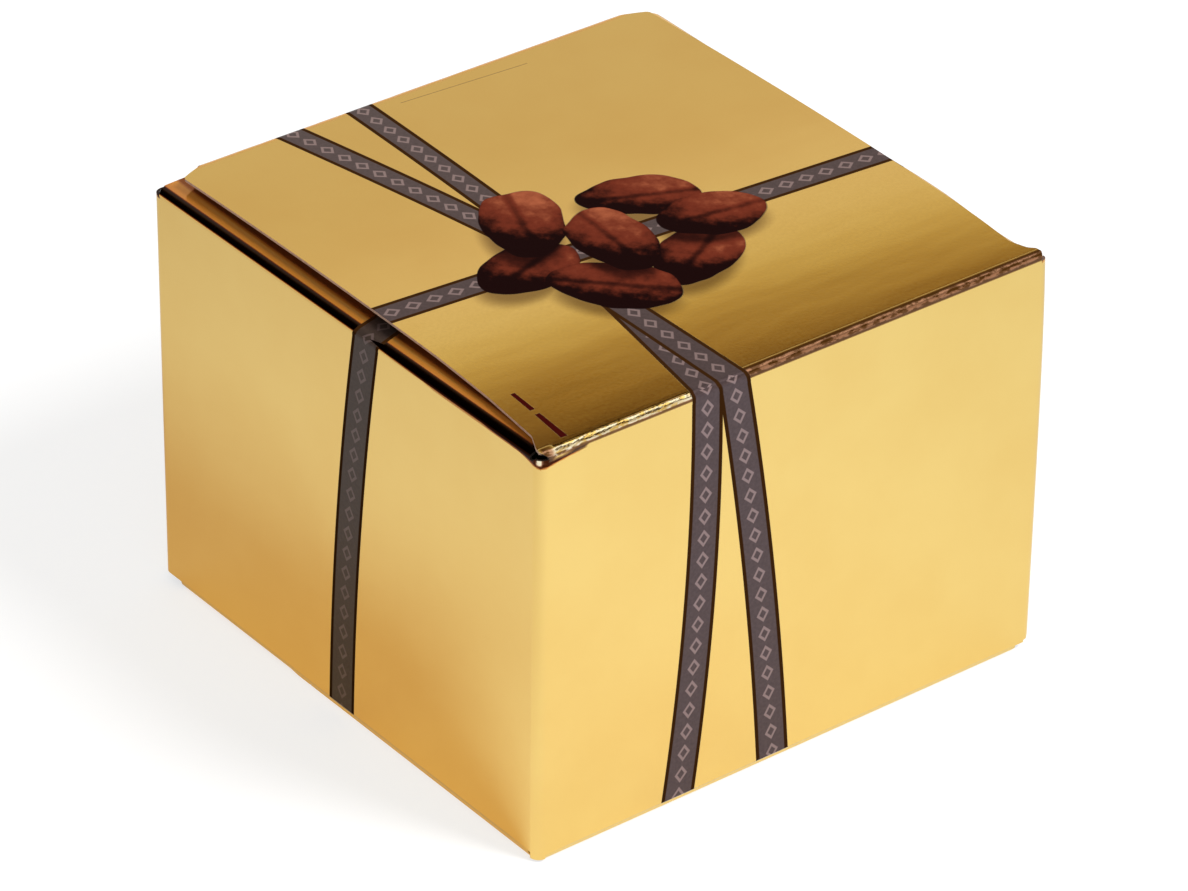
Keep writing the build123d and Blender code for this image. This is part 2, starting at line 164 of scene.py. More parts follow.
class Graph:
    """A node tree with short ways to add and join its nodes."""

    def __init__(self, tree: bpy.types.NodeTree) -> None:
        """Start on an empty tree."""
        self.tree = tree
        tree.nodes.clear()

    def feed(self, socket: Socket, value: object) -> None:
        """Join a socket to another one, or give it a constant.

        Args:
            socket: The input.
            value: A socket, a number of the graph or a constant.
        """
        value = value.socket if isinstance(value, Number) else value
        if isinstance(value, bpy.types.NodeSocket):
            self.tree.links.new(value, socket)
        else:
            socket.default_value = (*value, 1.0) if socket.type == "RGBA" else value

    def node(self, kind: str, inputs: Inputs, **settings: object) -> bpy.types.Node:
        """Add a node of a kind with its settings and inputs.

        Args:
            kind: The node's type, without its first word.
            inputs: What its inputs get, by index or name.
            settings: Its settings.

        Returns:
            The node.
        """
        made = self.tree.nodes.new("ShaderNode" + kind)
        for name, value in settings.items():
            setattr(made, name, value)
        for key, value in inputs.items():
            self.feed(made.inputs[key], value)
        return made

    def number(self, kind: str, inputs: Inputs, output: int | str = 0, **settings: object) -> Number:
        """Add a node and return one of its outputs as a number."""
        return Number(self, self.node(kind, inputs, **settings).outputs[output])

    def math(self, operation: str, *values: object, clamp: bool = False) -> Number:
        """Add a math node."""
        return self.number("Math", dict(enumerate(values)), operation=operation, use_clamp=clamp)

    def vector(self, operation: str, a: object, b: object) -> Socket:
        """Add a vector math node and return its vector."""
        return self.node("VectorMath", {0: a, 1: b}, operation=operation).outputs[0]

    def measure(self, operation: str, a: object, b: object) -> Number:
        """Add a vector math node and return its number, for a dot product or a distance."""
        return self.number("VectorMath", {0: a, 1: b}, 1, operation=operation)

    def dot(self, a: object, b: object) -> Number:
        """Return a dot product."""
        return self.measure("DOT_PRODUCT", a, b)

    def blend(self, factor: object, a: object, b: object) -> Socket:
        """Mix two colours."""
        return self.node("Mix", {0: factor, 6: a, 7: b}, data_type="RGBA").outputs[2]

    def mix(self, factor: object, a: object, b: object) -> Number:
        """Mix two numbers."""
        return self.number("Mix", {0: factor, 2: a, 3: b}, data_type="FLOAT")

    def ramp(self, value: Number, keys: Keys) -> Socket:
        """Turn a number from 0 to 1 into a colour by a row of keys.

        Args:
            value: The number.
            keys: Places from 0 to 1 and their colours.

        Returns:
            The colour.
        """
        made = self.node("ValToRGB", {0: value})
        elements = made.color_ramp.elements
        while len(elements) < len(keys):
            elements.new(0.5)
        for element, (position, tone) in zip(elements, keys):
            element.position = position
            element.color = (*tone, 1.0)
        return made.outputs[0]

    def coordinates(self, name: str) -> Socket:
        """Return the texture coordinates of a name."""
        return self.node("TexCoord", {}).outputs[name]

    def attribute(self, name: str) -> Number:
        """Return a number of the mesh."""
        return self.number("Attribute", {}, "Fac", attribute_name=name)

    def noise(self, where: object, scale: float, detail: float = 3.0, roughness: float = 0.55) -> Number:
        """Add a noise texture, about 0.5 on average."""
        inputs = {"Vector": where, "Scale": scale, "Detail": detail, "Roughness": roughness}
        return self.number("TexNoise", inputs, "Fac")

    def stretched(self, where: Socket, scale: Point3) -> Socket:
        """Scale a place differently along each axis."""
        return self.node("Mapping", {"Vector": where, "Scale": scale}).outputs[0]

    def bump(self, height: Number, distance: float) -> Socket:
        """Turn a height into a normal; one unit of height stands for the distance in metres."""
        return self.node("Bump", {"Height": height, "Distance": distance}).outputs[0]

    def shader(self, kind: str, *inputs: object) -> Socket:
        """Add a shader, whose inputs are given in the order of its sockets."""
        return self.node(kind, dict(enumerate(inputs))).outputs[0]

    def surface(self, **values: object) -> None:
        """Add the surface shader and the output."""
        names = {name: name.replace("_", " ").title().replace("Ior", "IOR") for name in values}
        shader = self.node("BsdfPrincipled", {names[name]: value for name, value in values.items()})
        self.node("OutputMaterial", {"Surface": shader.outputs[0]})

    def mix_by_ray(self, kind: str, plain: Socket, other: Socket) -> Socket:
        """Show another shader to one kind of ray."""
        return self.shader("MixShader", self.ray(kind), plain, other)

    def ray(self, kind: str) -> Number:
        """Return 1 for one kind of ray."""
        return self.number("LightPath", {}, f"Is {kind} Ray")

    def seen(self) -> Number:
        """Return 1 for what the camera sees, also through film."""
        return self.math("MAXIMUM", self.ray("Camera"), self.ray("Transmission"))

    def give(self, **values: Number) -> bpy.types.NodeTree:
        """End a node group with its outputs, and return it.

        Args:
            values: The outputs by name.

        Returns:
            The group's tree.
        """
        for name in values:
            self.tree.interface.new_socket(name, in_out="OUTPUT", socket_type="NodeSocketFloat")
        leave = self.tree.nodes.new("NodeGroupOutput")
        for name, value in values.items():
            self.feed(leave.inputs[name], value)
        return self.tree

    def use(self, group: bpy.types.NodeTree, values: dict[str, object]) -> list[Number]:
        """Add one use of a group and return its outputs in order."""
        made = self.node("Group", values, node_tree=group)
        return [Number(self, socket) for socket in made.outputs]


def new_material(name: str) -> tuple[Material, Graph]:
    """Make an empty material and its graph."""
    material = bpy.data.materials.new(name)
    material.use_nodes = True
    return material, Graph(material.node_tree)


def node_group(name: str, vectors: Sequence[str], numbers: Sequence[str]) -> tuple[Graph, dict]:
    """Make a node group.

    Args:
        name: The group's name.
        vectors: Names of its vector inputs.
        numbers: Names of its number inputs.

    Returns:
        The group's graph, and its inputs by name.
    """
    graph = Graph(bpy.data.node_groups.new(name, "ShaderNodeTree"))
    for kind, labels in (("NodeSocketVector", vectors), ("NodeSocketFloat", numbers)):
        for label in labels:
            graph.tree.interface.new_socket(label, in_out="INPUT", socket_type=kind)
    entry = graph.tree.nodes.new("NodeGroupInput")
    return graph, {s.name: s if s.name in vectors else Number(graph, s) for s in entry.outputs}


class Print(Enum):
    """Which part of the blank's print a piece carries."""

    PLAIN = "plain"
    LID = "lid"
    CREASE = "crease"
    FRONT = "front"
    LEFT = "left"
    RIGHT = "right"
    REAR = "rear"


@dataclass(frozen=True)
class Ribbon:
    """A printed ribbon between two places of the blank; its middle bows to one side."""

    start: Point2
    end: Point2
    half_start: float = 3.3
    half_end: float = 3.3
    bow: float = 0.0


@dataclass(frozen=True)
class Bean:
    """A printed cocoa bean: its middle, its turn in degrees and its half sizes."""

    middle: Point2
    turn: float
    half_length: float
    half_width: float


LID_TAILS = (
    Ribbon((-17.8, 121.3), (-22.3, 88.1), 3.3, 3.6),
    Ribbon((-18.2, 124.7), (-16.4, 88.1), 3.3, 3.6),
)
FRONT_TAILS = (
    Ribbon((-22.3, 88.7), (-27.5, -2.0), 3.6, 3.95, 1.95),
    Ribbon((-16.4, 88.7), (-4.2, -2.0), 3.6, 3.9, 1.3),
)
RIBBONS: dict[Print, tuple[Ribbon, ...]] = {
    Print.PLAIN: (),
    Print.LID: (
        Ribbon((-31.1, 214.6), (-19.6, 149.0)),
        Ribbon((-13.1, 214.0), (-15.8, 149.0), 3.2, 3.2),
        Ribbon((-62.7, 141.6), (63.5, 132.4)),
        *LID_TAILS,
    ),
    Print.CREASE: (LID_TAILS[0], FRONT_TAILS[0], LID_TAILS[1], FRONT_TAILS[1]),
    Print.FRONT: FRONT_TAILS,
    Print.LEFT: (
        Ribbon((-111.7, 87.6), (-120.9, -2.0), 4.0, 4.0, -1.6),
        Ribbon((-111.7, 87.3), (-114.1, 97.0), 4.0, 3.7),
    ),
    Print.RIGHT: (Ribbon((104.4, 96.0), (112.4, -2.0), 3.8, 3.9, 1.2),),
    Print.REAR: (
        Ribbon((269.9, 96.0), (262.0, -2.0), 3.5, 3.7, -1.2),
        Ribbon((253.2, 96.0), (257.0, -2.0), 3.5, 3.7, 1.0),
    ),
}
RULES = (
    Ribbon((-52.0, 106.9), (-52.2, 100.6), 0.55, 0.62),
    Ribbon((-52.3, 99.3), (-52.7, 90.7), 0.62, 0.8),
    Ribbon((-5.9, 203.2), (23.4, 201.3), 0.12, 0.12),
)
BEANS = (
    Bean((-24.5, 139.0), 12.0, 11.5, 7.6),
    Bean((8.5, 147.5), -28.0, 12.0, 7.4),
    Bean((-15.5, 151.5), 64.0, 12.5, 8.2),
    Bean((4.0, 124.5), 24.0, 12.0, 7.5),
    Bean((-14.5, 125.0), -48.0, 12.5, 8.0),
    Bean((15.5, 134.5), -14.0, 11.5, 7.4),
    Bean((-5.0, 137.5), 82.0, 12.0, 7.8),
)


@dataclass
class Press:
    """Prints ribbons and beans as masks and tones in a material."""

    edge_line: float = 0.78
    blur: float = 0.12
    motif_pitch: float = 4.6
    motif_reach: float = 1.15
    motif_width: float = 0.8
    bean_taper: float = 0.16
    seam_lean: float = 0.12
    unevenness: float = 0.6
    bean_growth: float = 0.28
    facing_light: float = 0.46
    height_light: float = 0.40
    wrinkle_light: float = 0.85
    light_loss: float = 0.42
    overlap_shade: float = 0.75
    light: Point3 = (0.74, 0.67, 0.0)
    shadow_shift: Point3 = (-2.2, -2.8, 0.0)

    def __post_init__(self) -> None:
        """Build the two node groups that all the materials share."""
        self.ribbon_group = self.build_ribbon()
        self.bean_group = self.build_bean()

    def build_ribbon(self) -> bpy.types.NodeTree:
        """Build the group that draws one ribbon with its dark edges and its row of lozenges.

        Returns:
            The group's tree.
        """
        graph, given = node_group(
            "ribbon", ("Place", "Start", "Along", "Across"), ("Length", "Half Start", "Half End", "Bow"))
        offset = graph.vector("SUBTRACT", given["Place"], given["Start"])
        along = graph.dot(offset, given["Along"])
        share = (along / given["Length"]).held()
        across = abs(graph.dot(offset, given["Across"]) - given["Bow"] * share * (share * -4.0 + 4.0))
        inside = graph.mix(share, given["Half Start"], given["Half End"]) - across
        before_end = (given["Length"] - along).step(0.0, self.blur)
        phase = graph.math("PINGPONG", along / self.motif_pitch, 0.5)
        lozenge = phase * (self.motif_pitch * self.motif_width) + across
        return graph.give(
            Mask=inside.step(0.0, self.blur) * along.step(0.0, self.blur) * before_end,
            Edge=1.0 - inside.step(self.edge_line, self.edge_line + self.blur * 2),
            Motif=1.0 - abs(lozenge - self.motif_reach).step(0.22, 0.42),
        )

    def build_bean(self) -> bpy.types.NodeTree:
        """Build the group that draws one bean with its light, its seam and its shadow.

        Returns:
            The group's tree.
        """
        graph, given = node_group(
            "bean", ("Place", "Middle", "Along", "Across"), ("Half Length", "Half Width"))
        offset = graph.vector("SUBTRACT", given["Place"], given["Middle"])
        fallen = graph.vector("SUBTRACT", offset, self.shadow_shift)
        places = (offset, fallen)
        along, shade_along = (graph.dot(at, given["Along"]) / given["Half Length"] for at in places)
        across, shade_across = (graph.dot(at, given["Across"]) / given["Half Width"] for at in places)
        side = across / (along * self.bean_taper + 1.0)
        uneven = graph.noise(given["Place"], 0.11, 1.0) * self.unevenness
        reach = along * along + side * side + uneven - self.bean_growth
        height = graph.math("SQRT", (1.0 - reach).held())
        facing = graph.dot(offset, self.light) / given["Half Width"]
        wrinkle = graph.noise(graph.stretched(offset, (0.30, 0.30, 1.0)), 1.0, 4.0, 0.6)
        seam = abs(side - along * self.seam_lean).step(0.01, 0.17)
        light = facing * self.facing_light + height * self.height_light + wrinkle * self.wrinkle_light
        light = (light - self.light_loss).held()
        return graph.give(
            Mask=1.0 - reach.step(0.95, 1.0),
            Light=light * graph.mix(seam, 0.5, 1.0),
            Shadow=1.0 - (shade_along * shade_along + shade_across * shade_across).step(0.45, 1.35),
        )

    def ribbons(self, graph: Graph, place: Socket, ribbons: Sequence[Ribbon]) -> tuple[Number, ...]:
        """Draw ribbons, each over the one before.

        Args:
            graph: The material's graph.
            place: The place on the blank in millimetres.
            ribbons: The ribbons to draw.

        Returns:
            How much ink, edge line and motif there is.
        """
        ink = edge = motif = 0.0
        for ribbon in ribbons:
            run = Vector(ribbon.end) - Vector(ribbon.start)
            along = run.normalized()
            mask, line, row = graph.use(self.ribbon_group, {
                "Place": place,
                "Start": (*ribbon.start, 0.0),
                "Along": (along.x, along.y, 0.0),
                "Across": (-along.y, along.x, 0.0),
                "Length": run.length,
                "Half Start": ribbon.half_start,
                "Half End": ribbon.half_end,
                "Bow": ribbon.bow,
            })
            ink = graph.math("MAXIMUM", ink, mask)
            edge = graph.mix(mask, edge, line)
            motif = graph.mix(mask, motif, row)
        return ink, edge, motif

    def beans(self, graph: Graph, place: Socket) -> tuple[Number, ...]:
        """Draw the picture of beans and return how much ink, light and shadow it has.

        Args:
            graph: The material's graph.
            place: The place on the blank in millimetres.

        Returns:
            How much ink, light and shadow there is.
        """
        ink = light = shadow = 0.0
        for bean in BEANS:
            turn = math.radians(bean.turn)
            mask, lit, shade = graph.use(self.bean_group, {
                "Place": place,
                "Middle": (*bean.middle, 0.0),
                "Along": (math.cos(turn), math.sin(turn), 0.0),
                "Across": (-math.sin(turn), math.cos(turn), 0.0),
                "Half Length": bean.half_length,
                "Half Width": bean.half_width,
            })
            light = graph.mix(mask, (1.0 - shade * self.overlap_shade) * light, lit)
            ink = graph.math("MAXIMUM", ink, mask)
            shadow = graph.math("MAXIMUM", shadow, shade)
        return ink, light, shadow


@dataclass(frozen=True)
class Foil:
    """Satin gold foil on board, with the blank's print over it and painted shade where the mesh asks for it.
    """

    gold: Colour = (0.89, 0.635, 0.21)
    gold_deep: Colour = (0.865, 0.60, 0.19)
    # Tones of painted shade and painted dark reflection, picked by the shade attribute; the second set is for
    # the creases.
    painted_shade_tones: Keys = (
        (0.0, (0.89, 0.635, 0.21)), (0.12, (0.80, 0.44, 0.11)), (0.3, (0.72, 0.29, 0.04)),
        (0.55, (0.46, 0.135, 0.018)), (0.8, (0.11, 0.022, 0.004)), (1.0, (0.018, 0.0035, 0.001)),
    )
    crease_painted_shade_tones: Keys = (
        (0.0, (0.89, 0.635, 0.21)), (0.3, (0.42, 0.24, 0.05)), (0.55, (0.26, 0.12, 0.022)),
        (0.8, (0.12, 0.045, 0.008)), (1.0, (0.012, 0.005, 0.001)),
    )
    glint_flecks: Colour = (0.97, 0.87, 0.62)
    dim_flecks: Colour = (0.85, 0.42, 0.24)
    ink: Colour = (0.080, 0.054, 0.056)
    side_ink: Colour = (0.056, 0.037, 0.030)
    ink_line: Colour = (0.043, 0.016, 0.004)
    rule_ink: Colour = (0.050, 0.004, 0.003)
    motif: Colour = (0.36, 0.255, 0.25)
    bean_dark: Colour = (0.010, 0.002, 0.002)
    bean_mid: Colour = (0.175, 0.030, 0.014)
    bean_light: Colour = (0.46, 0.125, 0.055)
    shadow: Colour = (0.20, 0.105, 0.025)
    roughness: float = 0.11
    grain_roughness: float = 0.06
    worn_roughness: float = 0.12
    shade_metallic_loss: float = 0.65
    shadow_strength: float = 0.8
    weave: float = 0.75
    side_weave: float = 0.3
    ink_metallic: float = 0.42
    ink_roughness: float = 0.28
    ink_specular: float = 0.2
    bean_metallic: float = 0.15
    bean_roughness: float = 0.45
    plain_specular: float = 0.5
    grain_height: float = 0.0012
    swell_height: float = 0.012
    crack_height: float = 0.16

    def build(self, press: Press, which: Print) -> Material:
        """Make the foil's material for one part of the print.

        Args:
            press: What draws the print.
            which: The part of the print.

        Returns:
            The material.
        """
        material, graph = new_material("gold_foil_" + which.value)
        blank = graph.node("Attribute", {}, attribute_name="blank").outputs["Vector"]
        place = graph.vector("MULTIPLY", blank, (1 / MM, 1 / MM, 1 / MM))
        fold = graph.attribute("fold")
        painted_shade = graph.attribute("painted_shade")
        grain = graph.noise(place, 1.4)
        crushed = graph.noise(graph.stretched(place, (0.5, 0.9, 1.0)), 0.85, 3.0, 0.6)
        worn = graph.math("MAXIMUM", fold * crushed.step(0.44, 0.56), fold.step(1.05, 1.3), clamp=True)
        on_crease = which is Print.CREASE
        colour = graph.blend(graph.noise(place, 0.035, 4.0).step(0.3, 0.7), self.gold, self.gold_deep)
        # Painted shade and painted reflection: the shade attribute darkens the foil through these tones and
        # takes some metal away.
        shade_colour = graph.ramp(painted_shade, self.crease_painted_shade_tones if on_crease else self.painted_shade_tones)
        colour = graph.blend(painted_shade.step(0.0, 0.1), colour, shade_colour)
        # Crushed foil: where a crease is crushed hard its flecks are painted glints in a pale colour; where
        # lightly, they are dim crushed foil.
        colour = graph.blend(worn, colour, graph.blend(fold.step(0.4, 0.9), self.dim_flecks, self.glint_flecks))
        painted_dimming = painted_shade.step(0.02, 0.2) * (painted_shade.step(0.5, 0.8) * (-0.25 if on_crease else -1.0) + 1.0)
        metallic = 1.0 - painted_dimming * self.shade_metallic_loss
        roughness = grain * self.grain_roughness + (self.roughness - self.grain_roughness / 2)
        specular = self.plain_specular
        if which is Print.LID:
            picture, light, shadow = press.beans(graph, place)
            rule = press.ribbons(graph, place, RULES)[0]
            colour = graph.blend(shadow * self.shadow_strength, colour, self.shadow)
            colour = graph.blend(rule, colour, self.rule_ink)
            metallic = metallic * (1.0 - rule)
            specular = self.plain_specular - rule * self.plain_specular
        if RIBBONS[which]:
            on_side = which is Print.LEFT
            base, woven = (self.side_ink, self.side_weave) if on_side else (self.ink, self.weave)
            band, edge, motif = press.ribbons(graph, place, RIBBONS[which])
            tone = graph.blend(grain.step(0.25, 0.75), base, tuple(v * 1.3 for v in base))
            tone = graph.blend(motif * woven, tone, self.motif)
            colour = graph.blend(band, colour, graph.blend(edge, tone, self.ink_line))
            metallic = graph.mix(band, metallic, graph.mix(edge, self.ink_metallic, 0.0))
            roughness = graph.mix(band, roughness, self.ink_roughness)
            specular = graph.mix(band, specular, graph.mix(edge, self.ink_specular, 0.0))
        if which is Print.LID:
            warm = graph.blend(light.step(0.05, 0.50), self.bean_dark, self.bean_mid)
            warm = graph.blend(light.step(0.45, 1.0), warm, self.bean_light)
            colour = graph.blend(picture, colour, warm)
            metallic = graph.mix(picture, metallic, self.bean_metallic)
            roughness = graph.mix(picture, roughness, self.bean_roughness)
            specular = graph.mix(picture, specular, 0.0)
        swell = graph.noise(graph.stretched(place, (0.3, 1.0, 1.0)), 0.11, 2.0)
        cracks = graph.math("MINIMUM", fold, 1.0) * crushed
        height = grain * self.grain_height + swell * self.swell_height + cracks * self.crack_height
        graph.surface(
            base_color=colour, metallic=metallic, roughness=roughness + worn * self.worn_roughness,
            specular_ior_level=specular, normal=graph.bump(height, MM))
        return material


@dataclass(frozen=True)
class Board:
    """The board's uncoated side or its cut edge, with fine fibres."""

    name: str
    light: Colour
    dark: Colour
    painted_shade_amount: float = 0.0
    roughness: float = 0.78
    painted_shade_dark: Colour = (0.016, 0.006, 0.003)

    def build(self) -> Material:
        """Make the board's material; it takes the foil's painted shade as far as it is told to.

        Returns:
            The material.
        """
        material, graph = new_material(self.name)
        where = graph.coordinates("Object")
        fibres = graph.noise(graph.stretched(where, (1.0, 0.35, 1.0)), 2600.0, 5.0, 0.7)
        tone = graph.blend(fibres.step(0.35, 0.7), self.dark, self.light)
        tone = graph.blend(graph.noise(where, 90.0).step(0.3, 0.8), tone, self.light)
        # Painted shade: the board darkens where the foil's shade attribute is high, as on the cut edges
        # beside the lid.
        tone = graph.blend(graph.attribute("painted_shade").step(0.0, 0.5) * self.painted_shade_amount, tone, self.painted_shade_dark)
        graph.surface(base_color=tone, roughness=self.roughness, normal=graph.bump(fibres, 0.02 * MM))
        return material


@dataclass(frozen=True)
class BottomBoard:
    """Foil outside and white board inside, for the folded bottom's flaps."""

    gold: Colour = (0.84, 0.61, 0.21)
    white: Colour = (0.74, 0.71, 0.66)
    eye_height: float = 1.0
    outward: float = 0.04

    def build(self) -> Material:
        """Make a material that is foil on every face that points out of the carton.

        Returns:
            The material.
        """
        material, graph = new_material("bottom_board")
        where = graph.coordinates("Object")
        normal = graph.node("NewGeometry", {}).outputs["True Normal"]
        from_eye = graph.vector("SUBTRACT", where, (0.0, 0.0, self.eye_height))
        outside = graph.math("GREATER_THAN", graph.dot(from_eye, normal), self.outward)
        fibres = graph.noise(where, 2400.0, 4.0, 0.7).step(0.35, 0.7)
        grain = graph.noise(where, 1300.0)
        white = graph.blend(fibres, tuple(v * 0.9 for v in self.white), self.white)
        graph.surface(
            base_color=graph.blend(outside, white, self.gold), metallic=outside * 0.94,
            roughness=graph.mix(outside, 0.8, grain * 0.12 + 0.14), normal=graph.bump(grain, 0.004 * MM))
        return material


@dataclass(frozen=True)
class Film:
    """Clear crinkled film, milkier where it is seen edge on or folded."""

    name: str = "clear_film"
    tint: Colour = (0.95, 0.95, 0.94)
    clear_alpha: float = 0.07
    edge_alpha: float = 0.46
    crimp: float = 0.0
    edge_blend: float = 0.35
    crinkle_scale: float = 230.0
    fine_scale: float = 900.0
    crinkle_milk: float = 0.12
    fine_height: float = 0.18
    bump_depth: float = 1.1 * MM

    def build(self) -> Material:
        """Make the film's material.

        Returns:
            The material.
        """
        material, graph = new_material(self.name)
        where = graph.coordinates("Object")
        facing = graph.number("LayerWeight", {"Blend": self.edge_blend}, "Facing")
        crinkle = graph.noise(where, self.crinkle_scale, 4.0, 0.65)
        fine = graph.noise(where, self.fine_scale, 3.0, 0.6)
        milk = crinkle.step(0.60, 0.72) * self.crinkle_milk
        alpha = graph.mix(facing, self.clear_alpha, self.edge_alpha) + milk
        if self.crimp:
            ridge = graph.math("PINGPONG", graph.dot(where, (1.0, 0.0, 0.0)) / self.crimp, 0.5)
            alpha = alpha.held() * graph.mix(ridge.step(0.1, 0.4), 0.8, 1.15)
        graph.surface(
            base_color=self.tint, alpha=alpha.held(), roughness=fine * 0.14 + 0.06,
            normal=graph.bump(crinkle + fine * self.fine_height, self.bump_depth))
        return material


@dataclass(frozen=True)
class Cocoa:
    """Matt cocoa powder over a truffle."""

    dark: Colour = (0.060, 0.019, 0.008)
    mid: Colour = (0.135, 0.048, 0.021)
    dust: Colour = (0.215, 0.088, 0.042)
    lump_scale: float = 170.0
    powder_scale: float = 1500.0
    powder_height: float = 0.28
    bump_depth: float = 1.6 * MM
    roughness: float = 0.92
    sheen: float = 0.12

    def build(self) -> Material:
        """Make the cocoa's material.

        Returns:
            The material.
        """
        material, graph = new_material("cocoa_powder")
        where = graph.coordinates("Object")
        lumps = graph.noise(where, self.lump_scale, 4.0, 0.6)
        powder = graph.noise(where, self.powder_scale, 5.0, 0.75)
        colour = graph.blend(lumps.step(0.32, 0.62), self.dark, self.mid)
        graph.surface(
            base_color=graph.blend(powder.step(0.5, 0.72), colour, self.dust),
            roughness=self.roughness, sheen_weight=self.sheen,
            normal=graph.bump(lumps + powder * self.powder_height, self.bump_depth))
        return material


# Board pieces


@dataclass
class Finishes:
    """Every material of the carton, made once."""

    press: Press = field(default_factory=Press)

    def __post_init__(self) -> None:
        """Build the materials."""
        self.foil = {which: Foil().build(self.press, which) for which in Print}
        self.inside = Board("board_inside", (0.87, 0.85, 0.80), (0.80, 0.775, 0.72)).build()
        self.cut = Board("board_cut_edge", (0.78, 0.50, 0.36), (0.50, 0.29, 0.20), 1.0).build()
        self.bottom = BottomBoard().build()
        self.film = Film().build()
        self.seal = Film("seal_film", (0.90, 0.90, 0.88), 0.34, 0.75, 2.15 * MM).build()
        self.cocoa = Cocoa().build()

    def board(self, which: Print) -> tuple[Material, ...]:
        """Return a board piece's outside, inside and cut edge."""
        return (self.foil[which], self.inside, self.cut)


@dataclass
class Cutting:
    """A piece of the blank as it is cut: its outline, rounded corners and the lines it is sliced along."""

    outline: list[Point2]
    rounds: dict[int, float]
    u_cuts: list[float]
    v_cuts: list[float]
    round_segments: int = 7

    def cut(self) -> bmesh.types.BMesh:
        """Cut the piece flat, in millimetres.

        Returns:
            A mesh in the u-v plane whose faces point up.
        """
        outline = list(self.outline)
        rounds = self.rounds
        if sum(a[0] * b[1] - b[0] * a[1] for a, b in zip(outline, outline[1:] + outline[:1])) < 0:
            outline.reverse()
            rounds = {len(outline) - 1 - index: radius for index, radius in rounds.items()}
        sheet = bmesh.new()
        corners = [sheet.verts.new((*place, 0.0)) for place in outline]
        sheet.faces.new(corners)
        for index, radius in rounds.items():
            here = Vector(outline[index])
            before = Vector(outline[index - 1]) - here
            after = Vector(outline[(index + 1) % len(outline)]) - here
            bmesh.ops.bevel(
                sheet, geom=[corners[index]], offset=radius / math.tan(before.angle(after) / 2), profile=0.5,
                offset_type="OFFSET", segments=self.round_segments, affect="VERTICES", material=-1)
        for axis, cuts in ((Vector((1.0, 0.0, 0.0)), self.u_cuts), (Vector((0.0, 1.0, 0.0)), self.v_cuts)):
            for at in cuts:
                geometry = sheet.verts[:] + sheet.edges[:] + sheet.faces[:]
                bmesh.ops.bisect_plane(sheet, geom=geometry, dist=1e-4, plane_co=axis * at, plane_no=axis)
        return sheet


def place_sheet(name: str, sheet: bmesh.types.BMesh, *materials: Material) -> bpy.types.Object:
    """Turn a finished sheet into an object of the scene with its materials.

    Args:
        name: The name of the object and its mesh.
        sheet: The finished mesh, which is freed here.
        materials: Its materials in order.

    Returns:
        The object.
    """
    mesh = bpy.data.meshes.new(name)
    sheet.to_mesh(mesh)
    sheet.free()
    for material in materials:
        mesh.materials.append(material)
    piece = bpy.data.objects.new(name, mesh)
    bpy.context.scene.collection.objects.link(piece)
    return piece


def thicken(piece: bpy.types.Object, thickness: float, sharp_angle: float, **settings: object) -> None:
    """Give a sheet its thickness inwards, as part of its mesh, and set which edges look sharp.

    Args:
        piece: The sheet's object.
        thickness: The thickness in millimetres.
        sharp_angle: The angle in degrees from which an edge looks sharp.
        settings: Other settings of the thickening.
    """
    solid = piece.modifiers.new("thickness", "SOLIDIFY")
    for name, value in {"thickness": thickness * MM, "offset": -1.0, **settings}.items():
        setattr(solid, name, value)
    baked = bpy.data.meshes.new_from_object(piece.evaluated_get(bpy.context.evaluated_depsgraph_get()))
    baked.name = piece.name
    thin = piece.data
    piece.modifiers.clear()
    piece.data = baked
    bpy.data.meshes.remove(thin)
    baked.shade_smooth()
    baked.set_sharp_from_angle(angle=math.radians(sharp_angle))


def seat(piece: bpy.types.Object, slot: str, body: str = "", *nodes: str) -> None:
    """Hide the frame's nodes that a piece stands for, hang it on the body that it rides on, and report it.

    Args:
        piece: The piece.
        slot: The record's material slot. It is not used.
        body: The body that it rides on, if any.
        nodes: The frame's nodes that it stands for.
    """
    if nodes:
        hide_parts(*nodes)
    if body:
        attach(piece, body)
    LOG.info("%s: %d faces", piece.name, len(piece.data.polygons))


def fold_board(
    name: str, cutting: Cutting, fold_map: FoldMap, marks: Marks, materials: Sequence[Material],
) -> bpy.types.Object:
    """Cut a board piece, fold it and give it its thickness.

    Args:
        name: The piece's name.
        cutting: How it is cut.
        fold_map: Gives the place of the foil side, in millimetres, for a place on the blank.
        marks: Gives how far the foil is crushed, and its painted shade there, each from 0 to 1.
        materials: Outside, inside and cut edge.

    Returns:
        The piece, in place, in metres.
    """
    sheet = cutting.cut()
    layers = sheet.verts.layers
    blank = layers.float_vector.new("blank")
    fold = layers.float.new("fold")
    painted_shade = layers.float.new("painted_shade")
    for vert in sheet.verts:
        u, v = vert.co.x, vert.co.y
        vert[blank] = (u * MM, v * MM, 0.0)
        vert[fold], vert[painted_shade] = marks(u, v)
        vert.co = fold_map(u, v) * MM
    piece = place_sheet(name, sheet, *materials)
    thicken(piece, BOARD, 35.0, use_even_offset=True, use_quality_normals=True,
            material_offset=1, material_offset_rim=2)
    return piece


def flat_wave(u: float, v: float) -> float:
    """Return how far the board lies behind its flat, in millimetres, from slow waves of the sheet.

    Args:
        u: The place along the walls on the blank.
        v: The height on the blank.

    Returns:
        The depth of the wave.
    """
    slow_depth, quick_depth = 0.11, 0.018
    slow = noise.noise(Vector((u * 0.011, v * 0.023, 3.7)))
    quick = noise.noise(Vector((u * 0.03, v * 0.06, 9.1)))
    return slow_depth * (1.0 + slow) * 0.5 + quick_depth * (1.0 + quick) * 0.5


